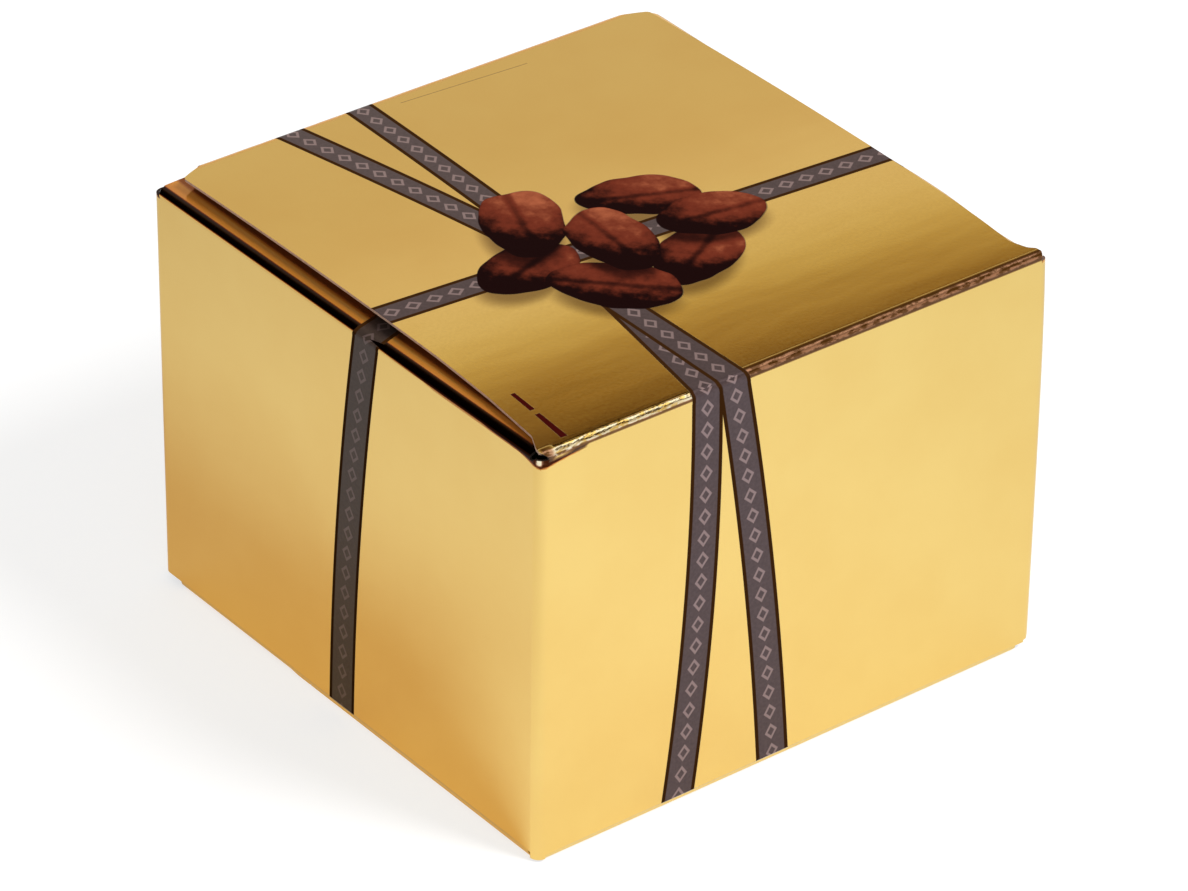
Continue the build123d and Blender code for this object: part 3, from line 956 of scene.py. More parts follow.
def leaning_in(u: float, v: float) -> Vector:
    """Return how the board leans in and sags, in millimetres, at the front right corner and beside it.

    Args:
        u: The place along the walls on the blank.
        v: The height on the blank.

    Returns:
        The shift of the board.
    """
    front_reach, side_reach, rear_start = 50.0, 30.0, 146.0
    dip_middle, dip_width, dip_start = 71.0, 15.0, 5.0
    fade_below, fade_above = 17.0, 14.0
    above = v - CREASE_HEIGHT
    past = u - HALF
    if past <= 0.0:
        share, dip = max(0.0, (past + front_reach) / front_reach), 0.0
    else:
        behind = held((u - rear_start) / side_reach)
        share = max(0.0, 1.0 - 0.38 * min(1.0, past / side_reach) - 0.62 * behind)
        dip = min(1.0, past / dip_start) * math.exp(-((u - dip_middle) / dip_width) ** 2)
    fading = -above / fade_below if above < 0.0 else above / fade_above
    return Vector((-share - 0.9 * dip, 0.0, -0.8 * dip)) * math.exp(-fading)


def corner_mark_reach(u: float) -> float:
    """Return how far below the walls' top the crushing and painted shade reach beside the front left corner,
    in millimetres.
    """
    deepest, front_reach, side_reach, fall = 1.3, 11.0, 6.0, 1.3
    past = u + HALF
    return deepest * max(0.0, 1.0 - abs(past) / (front_reach if past > 0.0 else side_reach)) ** fall


def corner_crush_and_shade(u: float, v: float) -> Point2:
    """Return how far the foil is crushed at the front left corner's top, and the painted shade there.

    Args:
        u: The place along the walls on the blank.
        v: The height on the blank.

    Returns:
        The crushing and the painted shade, each from 0 to 1.
    """
    least_reach, mark_top, shade_top, crushed_top = 0.05, 86.45, 87.7, 87.6
    reach = corner_mark_reach(u)
    if reach <= least_reach:
        return 0.0, 0.0
    low = mark_top - reach
    # Painted shade under the lid's front left corner, reaching up to the crease on the left wall's side,
    # where the foil is not crushed.
    side_shade = near(u, -72.0, -57.2, 1.0)
    painted_shade = max(near(v, low, low + 0.5, 0.3), near(v, low, shade_top, 0.35) * side_shade)
    bare_board = 1.5 * near(u, -60.6, -60.0, 0.5) * near(v, 86.0, 87.0, 0.5)
    return max(near(v, low + 0.85, crushed_top, 0.3) * (1.0 - side_shade), bare_board), painted_shade


@dataclass
class Walls:
    """The four walls and the glue flap, bent round the corners of the carton."""

    finishes: Finishes
    half: float = HALF
    corner: float = 2.0
    foot: float = 1.3
    side_foot: float = 1.8
    corner_foot: float = 0.5
    top: float = WALL_TOP
    high_top: float = 86.7
    relief_half: float = 0.95
    relief_top: float = 3.2
    seam_inset: float = 0.5
    seam_top: float = 85.5
    glue_width: float = 14.0
    glue_taper: float = 5.0
    pitch: float = 5.0
    wave_fade: float = 6.0
    rear_gap: float = 1.0
    top_slant: float = 0.3
    top_inset: float = 0.5
    corner_slices: tuple[float, ...] = (*steps(-76.0, -62.8, 11), *steps(-57.2, -44.0, 11))

    def place(self, u: float, v: float) -> Vector:
        """Return where the foil side of the walls is, for a place on the blank.

        Args:
            u: The place along the walls on the blank.
            v: The height on the blank.

        Returns:
            The place in millimetres.
        """
        half, corner = self.half, self.corner
        quarter = round(u / (2 * half))
        local = u - quarter * 2 * half
        past = abs(local) - (half - corner)
        if past > 0:
            turn = past / (2 * corner) * math.pi / 2
            side = math.copysign(1.0, local)
            outward = Vector((side * math.sin(turn), -math.cos(turn), 0.0))
            spot = Vector((side * (half - corner), -(half - corner), v)) + outward * corner
        else:
            spot = Vector((local, -half + flat_wave(u, v) * min(1.0, -past / self.wave_fade), v))
        return Matrix.Rotation(quarter * math.pi / 2, 3, "Z") @ spot + leaning_in(u, v)

    def place_rear(self, u: float, v: float) -> Vector:
        """Return where the rear wall's foil side is; it stays flat up to its glued end."""
        low, high = 3 * self.half + self.corner, 5 * self.half - self.corner
        return self.place(max(min(u, high), low), v) + Vector((max(low - u, 0.0), 0.0, 0.0))

    def place_glue(self, u: float, v: float) -> Vector:
        """Return where the glue flap's foil side is: the same bend, one board further in."""
        return self.place(u + self.seam_inset, v) - Vector((0.0, self.seam_inset, 0.0))

    def marks(self, u: float, v: float) -> Point2:
        """Return how far the foil is crushed along the upright corners, with painted shade at the corners'
        tops and beside the front left corner.

        Args:
            u: The place along the walls on the blank.
            v: The height on the blank.

        Returns:
            The crushing and the painted shade, each from 0 to 1.
        """
        width = 2 * self.half
        nearest = abs(abs(u) - self.half - width * round((abs(u) - self.half) / width))
        # Painted shade at the corners' tops under the lid, fainter round the front right corner.
        upper = near(v, self.top + 0.5, self.high_top + 1.0, 0.3) * near(nearest, 0.0, self.corner, 0.4)
        faint = 0.4 if 0.0 < u < 100.0 else 1.0
        crushed, painted_shade_amount = corner_crush_and_shade(u, v)
        crushed = max(0.03 * near(nearest, 0.0, self.corner * 0.8), crushed)
        return crushed, max(0.84 * upper * faint, 0.93 * painted_shade_amount)

    def panel(
        self, name: str, outline: list[Point2], which: Print, corners: Sequence[float] = (),
        fold_map: FoldMap | None = None,
    ) -> None:
        """Fold one wall and let it stand for the frame's node of the same name.

        Args:
            name: The node's name.
            outline: The wall's outline on the blank.
            which: The part of the print that it carries.
            corners: Where it bends round a corner of the carton.
            fold_map: How it is folded, if not as the walls are.
        """
        corner = self.corner
        low, high = min(u for u, _ in outline), max(u for u, _ in outline)
        u_cuts = [cut for cut in steps(low, high, round((high - low) / self.pitch))
                  if all(abs(cut - at) > corner + 0.6 for at in corners)]
        for at in corners:
            u_cuts += [at - corner - 0.4, *steps(at - corner, at + corner, 10), at + corner + 0.4]
        u_cuts += [cut for cut in self.corner_slices if low < cut < high]
        v_cuts = [*steps(5.0, self.top - 2.2, 17), *steps(self.top - 1.9, self.top - 0.1, 6)]
        piece = fold_board(
            name + "_sheet", Cutting(outline, {}, u_cuts, v_cuts), fold_map or self.place, self.marks,
            self.finishes.board(which))
        seat(piece, "gold_board", "carton", name)

    def build(self) -> None:
        """Build the four walls and the glue flap."""
        half, corner, relief = self.half, self.corner, self.relief_half
        top, high_top = self.top, self.high_top
        slant, inset = self.top_slant, self.top_inset
        foot, side_foot, corner_foot = self.foot, self.side_foot, self.corner_foot
        near_end, far_end = half - corner, half + corner
        third = 3 * half
        rear_start = third + self.rear_gap
        seam = third - corner - self.seam_inset
        glue_bend = seam + 2 * corner
        glue_end = glue_bend + self.glue_width - corner
        self.panel("front_panel", [
            (-near_end, foot), (near_end, foot), (near_end, top), (-near_end - slant, high_top),
            (-far_end + inset, high_top), (-far_end, top), (-far_end, corner_foot), (-near_end, corner_foot),
        ], Print.FRONT, (-half,))
        self.panel("right_panel", [
            (near_end, side_foot), (half - relief, side_foot), (half, self.relief_top),
            (half + relief, side_foot), (seam, side_foot), (seam, top), (far_end, top),
            (far_end - inset, high_top), (near_end + slant, high_top), (near_end, top),
        ], Print.RIGHT, (half,))
        self.panel("rear_panel", [
            (rear_start, foot), (5 * half - corner, foot),
            (5 * half - corner, high_top), (rear_start, high_top),
        ], Print.REAR, (), self.place_rear)
        self.panel("left_panel", [
            (-far_end, side_foot), (-far_end, top), (-third + corner, top),
            (-third + corner - inset, high_top), (-third - corner, high_top),
            (-third - corner, side_foot), (-third - relief, side_foot),
            (-third, self.relief_top), (-third + relief, side_foot),
        ], Print.LEFT, (-third,))
        self.panel("glue_flap", [
            (seam, corner_foot), (glue_bend, corner_foot), (glue_bend, side_foot),
            (glue_end, side_foot + self.glue_taper), (glue_end, self.seam_top - self.glue_taper),
            (glue_bend, self.seam_top), (seam, self.seam_top),
        ], Print.PLAIN, (third - self.seam_inset,), self.place_glue)


@dataclass
class Lid:
    """The lid, its tuck flap and the two creases that they turn on."""

    finishes: Finishes
    half: float = HALF
    crown: float = 1.1
    rear_rise: float = 1.6
    tuck_inset: float = 1.1
    lean: float = 9.0
    hinge_half_width: float = 59.4
    right_hinge_half_width: float = 58.5
    left_side: tuple[Point2, ...] = ((57.3, -54.2), (56.2, -40.0), (55.7, -24.0))
    right_side: tuple[Point2, ...] = ((56.9, -56.7), (55.4, -53.2), (55.7, -46.0), (55.9, -38.0))
    shoulder_round: float = 2.2
    clip: Point2 = (55.7, 55.7)
    clip_half_width: float = 51.6
    clip_round: float = 1.2
    tuck_half_width: float = 50.4
    tuck_length: float = 19.0
    tuck_round: float = 9.0
    tuck_bend: float = 2.2
    corner: float = 2.0
    skirt: float = 1.0
    hinge_slant: float = 0.3
    hinge_drop: float = 0.4
    wall_slant: float = 0.2
    dent: float = 0.10
    dent_bias: float = 0.35

    def __post_init__(self) -> None:
        """Work out the hinges, the arch and the lengths of the bends on the blank."""
        self.hinge = Vector((-self.half + FOLD_RADIUS, CREASE_HEIGHT))
        self.tuck_hinge = Vector((self.half - self.tuck_inset - FOLD_RADIUS, CREASE_HEIGHT + self.rear_rise))
        across = self.tuck_hinge - self.hinge
        span = across.length
        self.arch = (span ** 2 / 4 + self.crown ** 2) / (2 * self.crown)
        slope = math.atan2(across.y, across.x)
        below = Vector((math.sin(slope), -math.cos(slope))) * (self.arch - self.crown)
        self.arch_centre = (self.hinge + self.tuck_hinge) / 2 + below
        half_turn = math.asin(span / 2 / self.arch)
        self.start_turn = math.pi / 2 + slope + half_turn
        self.end_turn = math.pi / 2 + slope - half_turn
        self.lid_start = self.hinge.x + FOLD_RADIUS * math.cos(self.start_turn)
        lid_end = self.tuck_hinge.x + FOLD_RADIUS * math.cos(self.end_turn)
        self.bend_start = CREASE_HEIGHT
        self.bend_end = self.bend_start + 2 * FOLD_RADIUS
        self.tuck_bend_start = self.bend_end + lid_end - self.lid_start
        self.tuck_bend_end = self.tuck_bend_start + self.tuck_bend
        self.low = self.bend_end + self.skirt
        self.high = self.tuck_bend_start - self.skirt
        self.tuck_low = self.tuck_bend_end + self.skirt
        clip_reach = (self.blank_height(self.tuck_hinge.x) - self.high) / (self.tuck_hinge.x - self.clip[1])
        self.rear_half = self.clip_half_width + (self.clip[0] - self.clip_half_width) * clip_reach

    def profile(self, v: float) -> Vector:
        """Return the Y and Z of the foil side for a height on the blank, up the wall and over the lid.

        Args:
            v: The height on the blank.

        Returns:
            The Y and Z in millimetres.
        """
        if v <= self.bend_start:
            return Vector((-self.half, v))
        if v < self.bend_end:
            share = (v - self.bend_start) / (self.bend_end - self.bend_start)
            turn = math.pi + (self.start_turn - math.pi) * share
            return self.hinge + Vector((math.cos(turn), math.sin(turn))) * FOLD_RADIUS
        if v <= self.tuck_bend_start:
            y = self.lid_start + v - self.bend_end
            radius = self.arch + FOLD_RADIUS
            return Vector((y, self.arch_centre.y + math.sqrt(radius ** 2 - (y - self.arch_centre.x) ** 2)))
        lean = math.radians(self.lean)
        share = min(1.0, (v - self.tuck_bend_start) / (self.tuck_bend_end - self.tuck_bend_start))
        turn = self.end_turn - (self.end_turn + lean) * share
        spot = self.tuck_hinge + Vector((math.cos(turn), math.sin(turn))) * FOLD_RADIUS
        return spot + Vector((-math.sin(lean), -math.cos(lean))) * max(0.0, v - self.tuck_bend_end)

    def place(self, u: float, v: float) -> Vector:
        """Return where the foil side is for a place on the blank, with the lid's slow waves."""
        spot = self.profile(v)
        sink = flat_wave(u, v) * FLAP_WAVE * held(min(v - self.low, self.high - v) / FLAP_WAVE_FADE)
        return Vector((u, spot.x, spot.y - sink)) + leaning_in(u, v)

    def place_crease(self, u: float, v: float) -> Vector:
        """Return where a crease's foil side is, with the small dents of a pressed fold.

        Args:
            u: The place along the walls on the blank.
            v: The height on the blank.

        Returns:
            The place in millimetres.
        """
        spot = self.profile(v)
        dent = self.dent * max(self.marks_front(u, v)[0], self.marks_rear(u, v)[0])
        depth = dent * (noise.noise(Vector((u * 0.45, v * 0.9, 1.3))) + self.dent_bias)
        centre = self.hinge if v < self.bend_end + self.half else self.tuck_hinge
        inward = (centre - spot).normalized() * max(0.0, depth)
        return Vector((u, spot.x + inward.x, spot.y + inward.y)) + leaning_in(u, v)

    def blank_height(self, y: float) -> float:
        """Return the height on the blank of a place on the lid."""
        return self.bend_end + y - self.lid_start

    def unmarked(self, _u: float, _v: float) -> Point2:
        """Return no crushing and no painted shade, for the flat of the lid and the tuck flap."""
        return 0.0, 0.0

    def marks_front(self, u: float, v: float) -> Point2:
        """Return how far the foil is crushed along the lid's crease, more crushed on its left, and the
        painted shade and dark reflection there.

        Args:
            u: The place along the walls on the blank.
            v: The height on the blank.

        Returns:
            The crushing and the painted shade, each from 0 to 1.
        """
        low, high = self.bend_start, self.bend_end
        left = 1.0 - held((u + 22.0) / 6.0)
        press = corner_mark_reach(u) / 1.5
        tip = near(u, -58.6, -57.2, 0.8)
        chipped = near(v, low + 0.65 - 1.2 * press, high - 0.5 - 0.3 * press, 0.35) * (1.0 - 0.6 * tip)
        # Painted dark reflection: a dark brown crease on the right, a dark line under the crease on the left,
        # and the corner's painted shade.
        under = near(v, low, low + 0.45, 0.2)
        brown = near(v, low, high + 0.35, 0.25)
        painted_shade_amount = max(0.8 * brown * max(1.0 - left, tip), 0.72 * under * left, 0.93 * corner_crush_and_shade(u, v)[1])
        return chipped * (0.35 + 0.65 * left), painted_shade_amount

    def marks_rear(self, _u: float, v: float) -> Point2:
        """Return how far the foil is crushed along the tuck's crease, and its faint painted shade."""
        here = near(v, self.tuck_bend_start, self.tuck_bend_end, 0.5)
        return 0.3 * here, 0.15 * here

    def build(self) -> None:
        """Build the lid, the tuck flap and their creases."""
        self.build_lid()
        self.build_tuck()
        self.build_crease()
        self.build_tuck_crease()

    def build_lid(self) -> None:
        """Build the lid, with its shoulders at the hinge and its clipped corners at the far end."""
        right = [(u, self.blank_height(y)) for u, y in (*self.right_side, self.clip)]
        left = [(-u, self.blank_height(y)) for u, y in reversed((*self.left_side, self.clip))]
        shoulder, clip = self.shoulder_round, self.clip_round
        piece = fold_board("lid_sheet", Cutting([
            (-self.hinge_half_width + self.hinge_slant, self.low),
            (self.right_hinge_half_width - self.hinge_slant, self.low), *right,
            (self.rear_half, self.high), (-self.rear_half, self.high), *left,
        ], {2: shoulder, 3: shoulder, 6: clip, 9: clip, 12: shoulder}, steps(-58.0, 58.0, 29), [
            *steps(self.low + 1.0, self.low + 5.5, 6), *steps(self.low + 8.0, self.high - 1.0, 36),
        ]), self.place, self.unmarked, self.finishes.board(Print.LID))
        seat(piece, "gold_board", "lid", "lid_panel")

    def build_tuck(self) -> None:
        """Build the tuck flap."""
        half, low, high = self.tuck_half_width, self.tuck_low, self.tuck_bend_end + self.tuck_length
        piece = fold_board("tuck_sheet", Cutting(
            [(-half, low), (half, low), (half, high), (-half, high)],
            {2: self.tuck_round, 3: self.tuck_round},
            steps(-48.0, 48.0, 16), steps(low + 2.0, high - 2.0, 6),
        ), self.place, self.unmarked, self.finishes.board(Print.LID))
        seat(piece, "gold_board", "tuck", "tuck_flap")

    def build_crease(self) -> None:
        """Build the crease between the front wall and the lid."""
        wall, left, right = self.half - self.corner, self.hinge_half_width, self.right_hinge_half_width
        start, end = self.bend_start, self.bend_end
        shoulder, slant = end - self.hinge_drop, self.hinge_slant
        wall_end = start + self.wall_slant
        piece = fold_board("lid_crease", Cutting([
            (-wall, WALL_TOP), (wall, WALL_TOP), (wall, wall_end), (right, shoulder),
            (right - slant, self.low), (-left + slant, self.low), (-left, shoulder), (-wall, wall_end),
        ], {}, [*steps(-58.0, 58.0, 116), -58.5, -59.0, 58.3], [
            *steps(start, end, 14), *steps(end + 0.25, end + 0.75, 2), start - 0.3,
        ]), self.place_crease, self.marks_front, self.finishes.board(Print.CREASE))
        foot = Vector((0.0, -self.half, WALL_TOP))
        rise = (self.profile(end) - foot.yz).dot(Vector((1.0, 1.0))) / 2
        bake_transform(piece)
        seat(piece, "gold_board")

    def build_tuck_crease(self) -> None:
        """Build the crease between the lid and the tuck flap."""
        half, rear = self.tuck_half_width, self.rear_half
        start, end = self.tuck_bend_start, self.tuck_bend_end
        piece = fold_board("tuck_crease", Cutting([
            (-rear, self.high), (rear, self.high), (half, start + 0.3), (half, self.tuck_low),
            (-half, self.tuck_low), (-half, start + 0.3),
        ], {}, steps(-50.0, 50.0, 50), [*steps(start, end, 12), start - 0.25, end + 0.25]),
            self.place_crease, self.marks_rear, self.finishes.board(Print.LID))
        first, last = self.profile(start) * MM, self.profile(end) * MM
        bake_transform(piece)
        seat(piece, "gold_board")


@dataclass
class DustFlaps:
    """The two dust flaps under the lid and the creases that join them to the side walls."""

    finishes: Finishes
    half: float = HALF
    bend_start: float = 86.62
    tight_radius: float = 0.45
    tight_turn: float = 62.0
    slope_length: float = 1.75
    last_slope: float = 3.2
    spring_length: float = 11.0
    pitch: float = 0.02
    hinge_inset: float = 1.0
    reach: float = 50.0
    front: float = -57.1
    front_taper_end: float = -25.1
    rear: float = 59.2
    step_reach: float = 8.0
    step_end: float = 9.2
    step_rear: float = 54.4
    taper_end: float = 47.4
    corner_round: float = 4.0
    skirt: float = 0.5

    def __post_init__(self) -> None:
        """Trace the fold's section: a tight bend, a shoulder that eases out, and the flap's slight spring."""
        tight_length = self.tight_radius * math.radians(self.tight_turn)
        eased = self.last_slope
        v, inland, height = self.bend_start, 0.0, self.bend_start
        self.section = [(v, inland, height)]
        while inland < self.reach + 1.0:
            done = v - self.bend_start
            past = done - tight_length
            if past < 0.0:
                slope = 90.0 - self.tight_turn * done / tight_length
            elif past < self.slope_length:
                slope = eased + (90.0 - self.tight_turn - eased) * (1.0 - past / self.slope_length) ** 1.4
            else:
                slope = eased * math.exp(-(past - self.slope_length) / self.spring_length)
            v += self.pitch
            inland += self.pitch * math.cos(math.radians(slope))
            height += self.pitch * math.sin(math.radians(slope))
            self.section.append((v, inland, height))
        self.bend_end = self.bend_start + tight_length + self.slope_length
        self.bend_in, self.top = self.trace(self.bend_end)

    def trace(self, v: float) -> Point2:
        """Return how far inland and how high the foil side is for a height on the blank.

        Args:
            v: The height on the blank.

        Returns:
            How far inland and how high, in millimetres.
        """
        if v <= self.bend_start:
            return 0.0, v
        index = int((v - self.bend_start) / self.pitch)
        before, after = self.section[index], self.section[index + 1]
        share = (v - before[0]) / self.pitch
        return before[1] + (after[1] - before[1]) * share, before[2] + (after[2] - before[2]) * share

    def place(self, side: int, u: float, v: float) -> Vector:
        """Return where the foil side is, on the left (side -1) or right (side 1).

        Args:
            side: -1 for the left, 1 for the right.
            u: The place along the walls on the blank.
            v: The height on the blank.

        Returns:
            The place in millimetres.
        """
        inland, height = self.trace(v)
        sink = flat_wave(u, v) * FLAP_WAVE * held((v - self.bend_end - self.skirt) / FLAP_WAVE_FADE)
        spot = Vector((side * (self.half - inland), side * u - 2 * self.half, height - sink))
        return spot + leaning_in(u, v)

    def blank_place(self, side: int, y: float, v: float) -> Point2:
        """Return the place on the blank of a place along a side wall."""
        return side * (2 * self.half + y), v

    def marks(self, u: float, v: float) -> Point2:
        """Return no crushing, and the painted shade along the crease, with painted reflection tones and a
        painted shadow on the left flap beside the lid's edge.

        Args:
            u: The place along the walls on the blank.
            v: The height on the blank.

        Returns:
            The crushing and the painted shade, each from 0 to 1.
        """
        low, high = self.bend_start + 0.42, self.bend_end + 0.2
        if u > 0:
            return 0.0, 0.1 * near(v, low, high, 0.2)
        back = (abs(u) - self.half) / (2 * self.half)
        inland = self.trace(v)[0]
        # Painted dark reflection in a band along the fold, painted reflection tones across the strip, and a
        # painted shadow under the lid's edge.
        lowered = 0.3 * held((0.4 - back) / 0.15) + 0.65 * held((0.14 - back) / 0.12)
        fold_shade = near(v, low - lowered, high, 0.2)
        edge = 4.1 + 1.45 * back
        at_rear = max(0.0, back - 0.85) / 0.15
        outer = 0.45 + 0.24 * max(0.0, 1.0 - back / 0.45) + 0.06 * at_rear
        inner = 0.15 + 0.12 * max(0.0, 1.0 - back / 0.3) + 0.12 * at_rear
        painted_dimming = outer + (inner - outer) * held((inland - 1.4) / (edge - 1.8))
        painted_dimming *= near(inland, 0.0, edge + 1.0, 1.6) if v > self.bend_start + 0.3 else 0.0
        return 0.0, max(fold_shade, painted_dimming, 0.67 * near(inland, edge, edge + 2.0, 1.3))

    def build(self) -> None:
        """Build both flaps and both creases."""
        self.build_side(-1, "left", Print.LEFT)
        self.build_side(1, "right", Print.RIGHT)

    def build_side(self, side: int, name: str, which: Print) -> None:
        """Build one flap and its crease.

        Args:
            side: -1 for the left flap, 1 for the right one.
            name: The side's name.
            which: The part of the print that it carries.
        """
        start, end, rear = self.bend_in + self.skirt, self.bend_end, self.rear
        taper = (self.front_taper_end - self.front) / (self.reach - self.hinge_inset)
        front = self.front + (start - self.hinge_inset) * taper
        outline = [self.blank_place(side, y, end + inland - self.bend_in) for inland, y in (
            (start, front), (self.reach, self.front_taper_end), (self.reach, self.taper_end),
            (self.step_end, self.step_rear), (self.step_reach, rear), (start, rear),
        )]
        strip = [self.blank_place(side, y, v) for y, v in (
            (self.front, WALL_TOP), (self.front, end - (self.bend_in - self.hinge_inset)),
            (front, end + self.skirt), (rear, end + self.skirt),
            (rear - 0.6, end - 0.6), (rear - 1.9, WALL_TOP),
        )]
        low, high = min(u for u, _ in outline), max(u for u, _ in outline)
        materials = self.finishes.board(which)

        def place(u: float, v: float) -> Vector:
            """Return where this side's foil is."""
            return self.place(side, u, v)

        flap = fold_board(name + "_dust_sheet", Cutting(
            outline, {1: self.corner_round, 2: self.corner_round}, steps(low + 3.0, high - 3.0, 24),
            [*steps(end + 0.8, end + 5.6, 12), *steps(end + 8.0, end + self.reach - 6.0, 10)],
        ), place, self.marks, materials)
        seat(flap, "gold_board", name + "_dust", name + "_dust_flap")
        crease = fold_board(name + "_dust_crease", Cutting(
            strip, {}, steps(low + 1.0, high - 1.0, 56), [*steps(self.bend_start, end, 12), end + 0.25],
        ), place, self.marks, materials)
        side * (self.half - self.bend_in) * MM
        self.top * MM
        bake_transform(crease)
        seat(crease, "gold_board")


@dataclass
class Bottom:
    """The self-locking bottom, kept from the frame and given its board's finish."""

    finishes: Finishes
    nodes: tuple[str, ...] = (
        "bottom_front_flap", "bottom_rear_flap", "bottom_left_flap", "bottom_right_flap",
        "left_glue_web", "right_glue_web",
    )

    def dress(self, frame: dict) -> None:
        """Give each flap its foil outside and white inside.

        Args:
            frame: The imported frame.
        """
        for name in self.nodes:
            mesh = frame["nodes"][name].data
            mesh.materials.clear()
            mesh.materials.append(self.finishes.bottom)
            LOG.info("%s: dressed", name)


@dataclass
class Bag:
    """The sealed film bag and the truffles in it."""

    finishes: Finishes
    rows: int = 4
    pitch: float = 27.5
    truffle_half: Point3 = (12.5, 11.5, 11.0)
    squareness: float = 2.7
    lower_middle: float = 12.9
    upper_middle: float = 35.2
    turn: float = 14.0
    bag_half: float = 56.5
    bag_corner: float = 16.0
    floor: float = 1.3
    floor_round: float = 3.0
    bag_top: float = 46.5
    top_inset: float = 6.0
    crown_top: float = 49.4
    ring_points: int = 132
    seal_half_length: float = 36.5
    seal_half_width: float = 4.5
    seal_top: float = 50.1
    seal_ridges: int = 34
    seal_ridge: float = 0.14
    seal_sag: float = 0.12
    seal_thickness: float = 0.16
    rough_scale: float = 0.075
    ridge_scale: float = 0.06
    pleats: float = 5.5
    most_push: float = 2.2
    slit: float = 0.6

    def truffle(self, sheet: bmesh.types.BMesh, middle: Vector, turn: float, seed: float) -> None:
        """Add one rolled truffle: a ball pressed a little square by its neighbours, with soft lumps.

        Args:
            sheet: The mesh that it is added to.
            middle: Its middle in millimetres.
            turn: Its turn in radians.
            seed: What makes its lumps its own.
        """
        spin = Matrix.Rotation(turn, 3, "Z")
        for vert in bmesh.ops.create_icosphere(sheet, subdivisions=4, radius=1.0)["verts"]:
            way = vert.co.normalized()
            square = sum(abs(part) ** self.squareness for part in way) ** (-1 / self.squareness)
            lump = noise.noise(way * 1.6 + Vector((seed, 0.0, 0.0)))
            dimple = noise.noise(way * 4.5 + Vector((0.0, seed, 0.0)))
            scale = min(square * (0.955 + 0.045 * lump + 0.018 * dimple), 1.12)
            body = Vector([
                max(-half, min(half, part * half * scale)) for part, half in zip(way, self.truffle_half)])
            vert.co = (spin @ body + middle) * MM

    def layer(self, name: str, height: float, first_turn: int) -> None:
        """Build one layer of truffles.

        Args:
            name: The node that it stands for.
            height: The height of the truffles' middles.
            first_turn: Where the row of turns starts.
        """
        sheet = bmesh.new()
        middle = (self.rows - 1) / 2
        for row in range(self.rows):
            for column in range(self.rows):
                turn = math.radians(self.turn * ((first_turn + row + 2 * column) % 3 - 1))
                spot = Vector(((column - middle) * self.pitch, (row - middle) * self.pitch, height))
                self.truffle(sheet, spot, turn, row * 7.3 + column * 3.1 + height)
        piece = place_sheet(name + "_rolled", sheet, self.finishes.cocoa)
        piece.data.shade_smooth()
        seat(piece, "cocoa_truffle", "carton", name)

    def ring_place(self, turn: float, half_x: float, half_y: float, corner: float) -> Vector:
        """Return the place at an angle on a rectangle with rounded corners.

        Args:
            turn: The angle in radians.
            half_x: Half the rectangle's size along X.
            half_y: Half its size along Y.
            corner: The radius of its corners.

        Returns:
            The X and Y.
        """
        way = Vector((math.cos(turn), math.sin(turn)))
        low, high = 0.0, 2.0 * max(half_x, half_y)
        for _ in range(28):
            middle = (low + high) / 2
            spot = way * middle
            over = Vector((max(abs(spot.x) - half_x + corner, 0.0), max(abs(spot.y) - half_y + corner, 0.0)))
            if over.length > corner:
                high = middle
            else:
                low = middle
        return way * low

    def film_rings(self) -> list[tuple[float, float, float, float]]:
        """Return the bag's rings from the floor's middle to the seal: half sizes, corner and height.

        Returns:
            The rings in order.
        """
        half, corner, rim = self.bag_half, self.bag_corner, self.bag_half - self.top_inset
        rings = [(share * half, share * half, share * corner, self.floor) for share in (0.25, 0.5, 0.75, 0.9)]
        for turn in steps(0.0, math.pi / 2, 4):
            inside = half - self.floor_round * (1.0 - math.sin(turn))
            rings.append((inside, inside, corner, self.floor + self.floor_round * (1.0 - math.cos(turn))))
        rings += [(half, half, corner, height) for height in steps(6.5, self.bag_top - 3.0, 22)]
        for turn in steps(math.pi / 12, math.pi / 2, 5):
            inside = half - self.top_inset * (1.0 - math.cos(turn))
            rings.append((inside, inside, corner, self.bag_top - 3.0 + 4.0 * math.sin(turn)))
        for share in steps(0.08, 1.0, 22):
            half_x = rim + (self.seal_half_length - rim) * share
            half_y = rim + (self.slit - rim) * share
            height = self.bag_top + 1.0 + (self.crown_top - self.bag_top - 1.2) * share ** 1.5
            rings.append((half_x, half_y, max(0.5, corner * (1 - share)), height))
        return rings

    def crumple(self, spot: Vector) -> Vector:
        """Return where the film is once it is crumpled: outwards at the sides and up and down on top.

        Args:
            spot: The place on the smooth bag, in millimetres.

        Returns:
            The place on the crumpled bag.
        """
        rough = noise.fractal(spot * self.rough_scale, 1.0, 2.0, 3, noise_basis="PERLIN_ORIGINAL")
        shifted = spot * self.ridge_scale + Vector((5.0, 2.0, 0.0))
        ridged = noise.ridged_multi_fractal(shifted, 1.0, 2.0, 2, 1.0, 2.0) - 1.0
        if spot.z > self.bag_top - 1.0:
            radial = math.atan2(spot.y, spot.x * 0.6)
            round_place = Vector((math.cos(radial), math.sin(radial))) * self.pleats
            pleat = noise.noise(Vector((*round_place, spot.length * 0.02)))
            lift = (0.9 * rough + 1.3 * pleat + 0.5 * ridged) * held((abs(spot.y) - 1.0) / 10.0)
            height = max(self.bag_top - 0.6, min(self.seal_top - 0.7, spot.z + lift))
            return Vector((spot.x, spot.y, height))
        if max(abs(spot.x), abs(spot.y)) > 0.9 * self.bag_half and spot.z > self.floor + 1.0:
            outward = Vector((spot.x, spot.y, 0.0)).normalized()
            push = max(0.0, min(self.most_push, 0.7 + 1.3 * rough + 0.7 * ridged))
            return spot + outward * push * min(1.0, (spot.z - self.floor) / 6.0)
        return spot

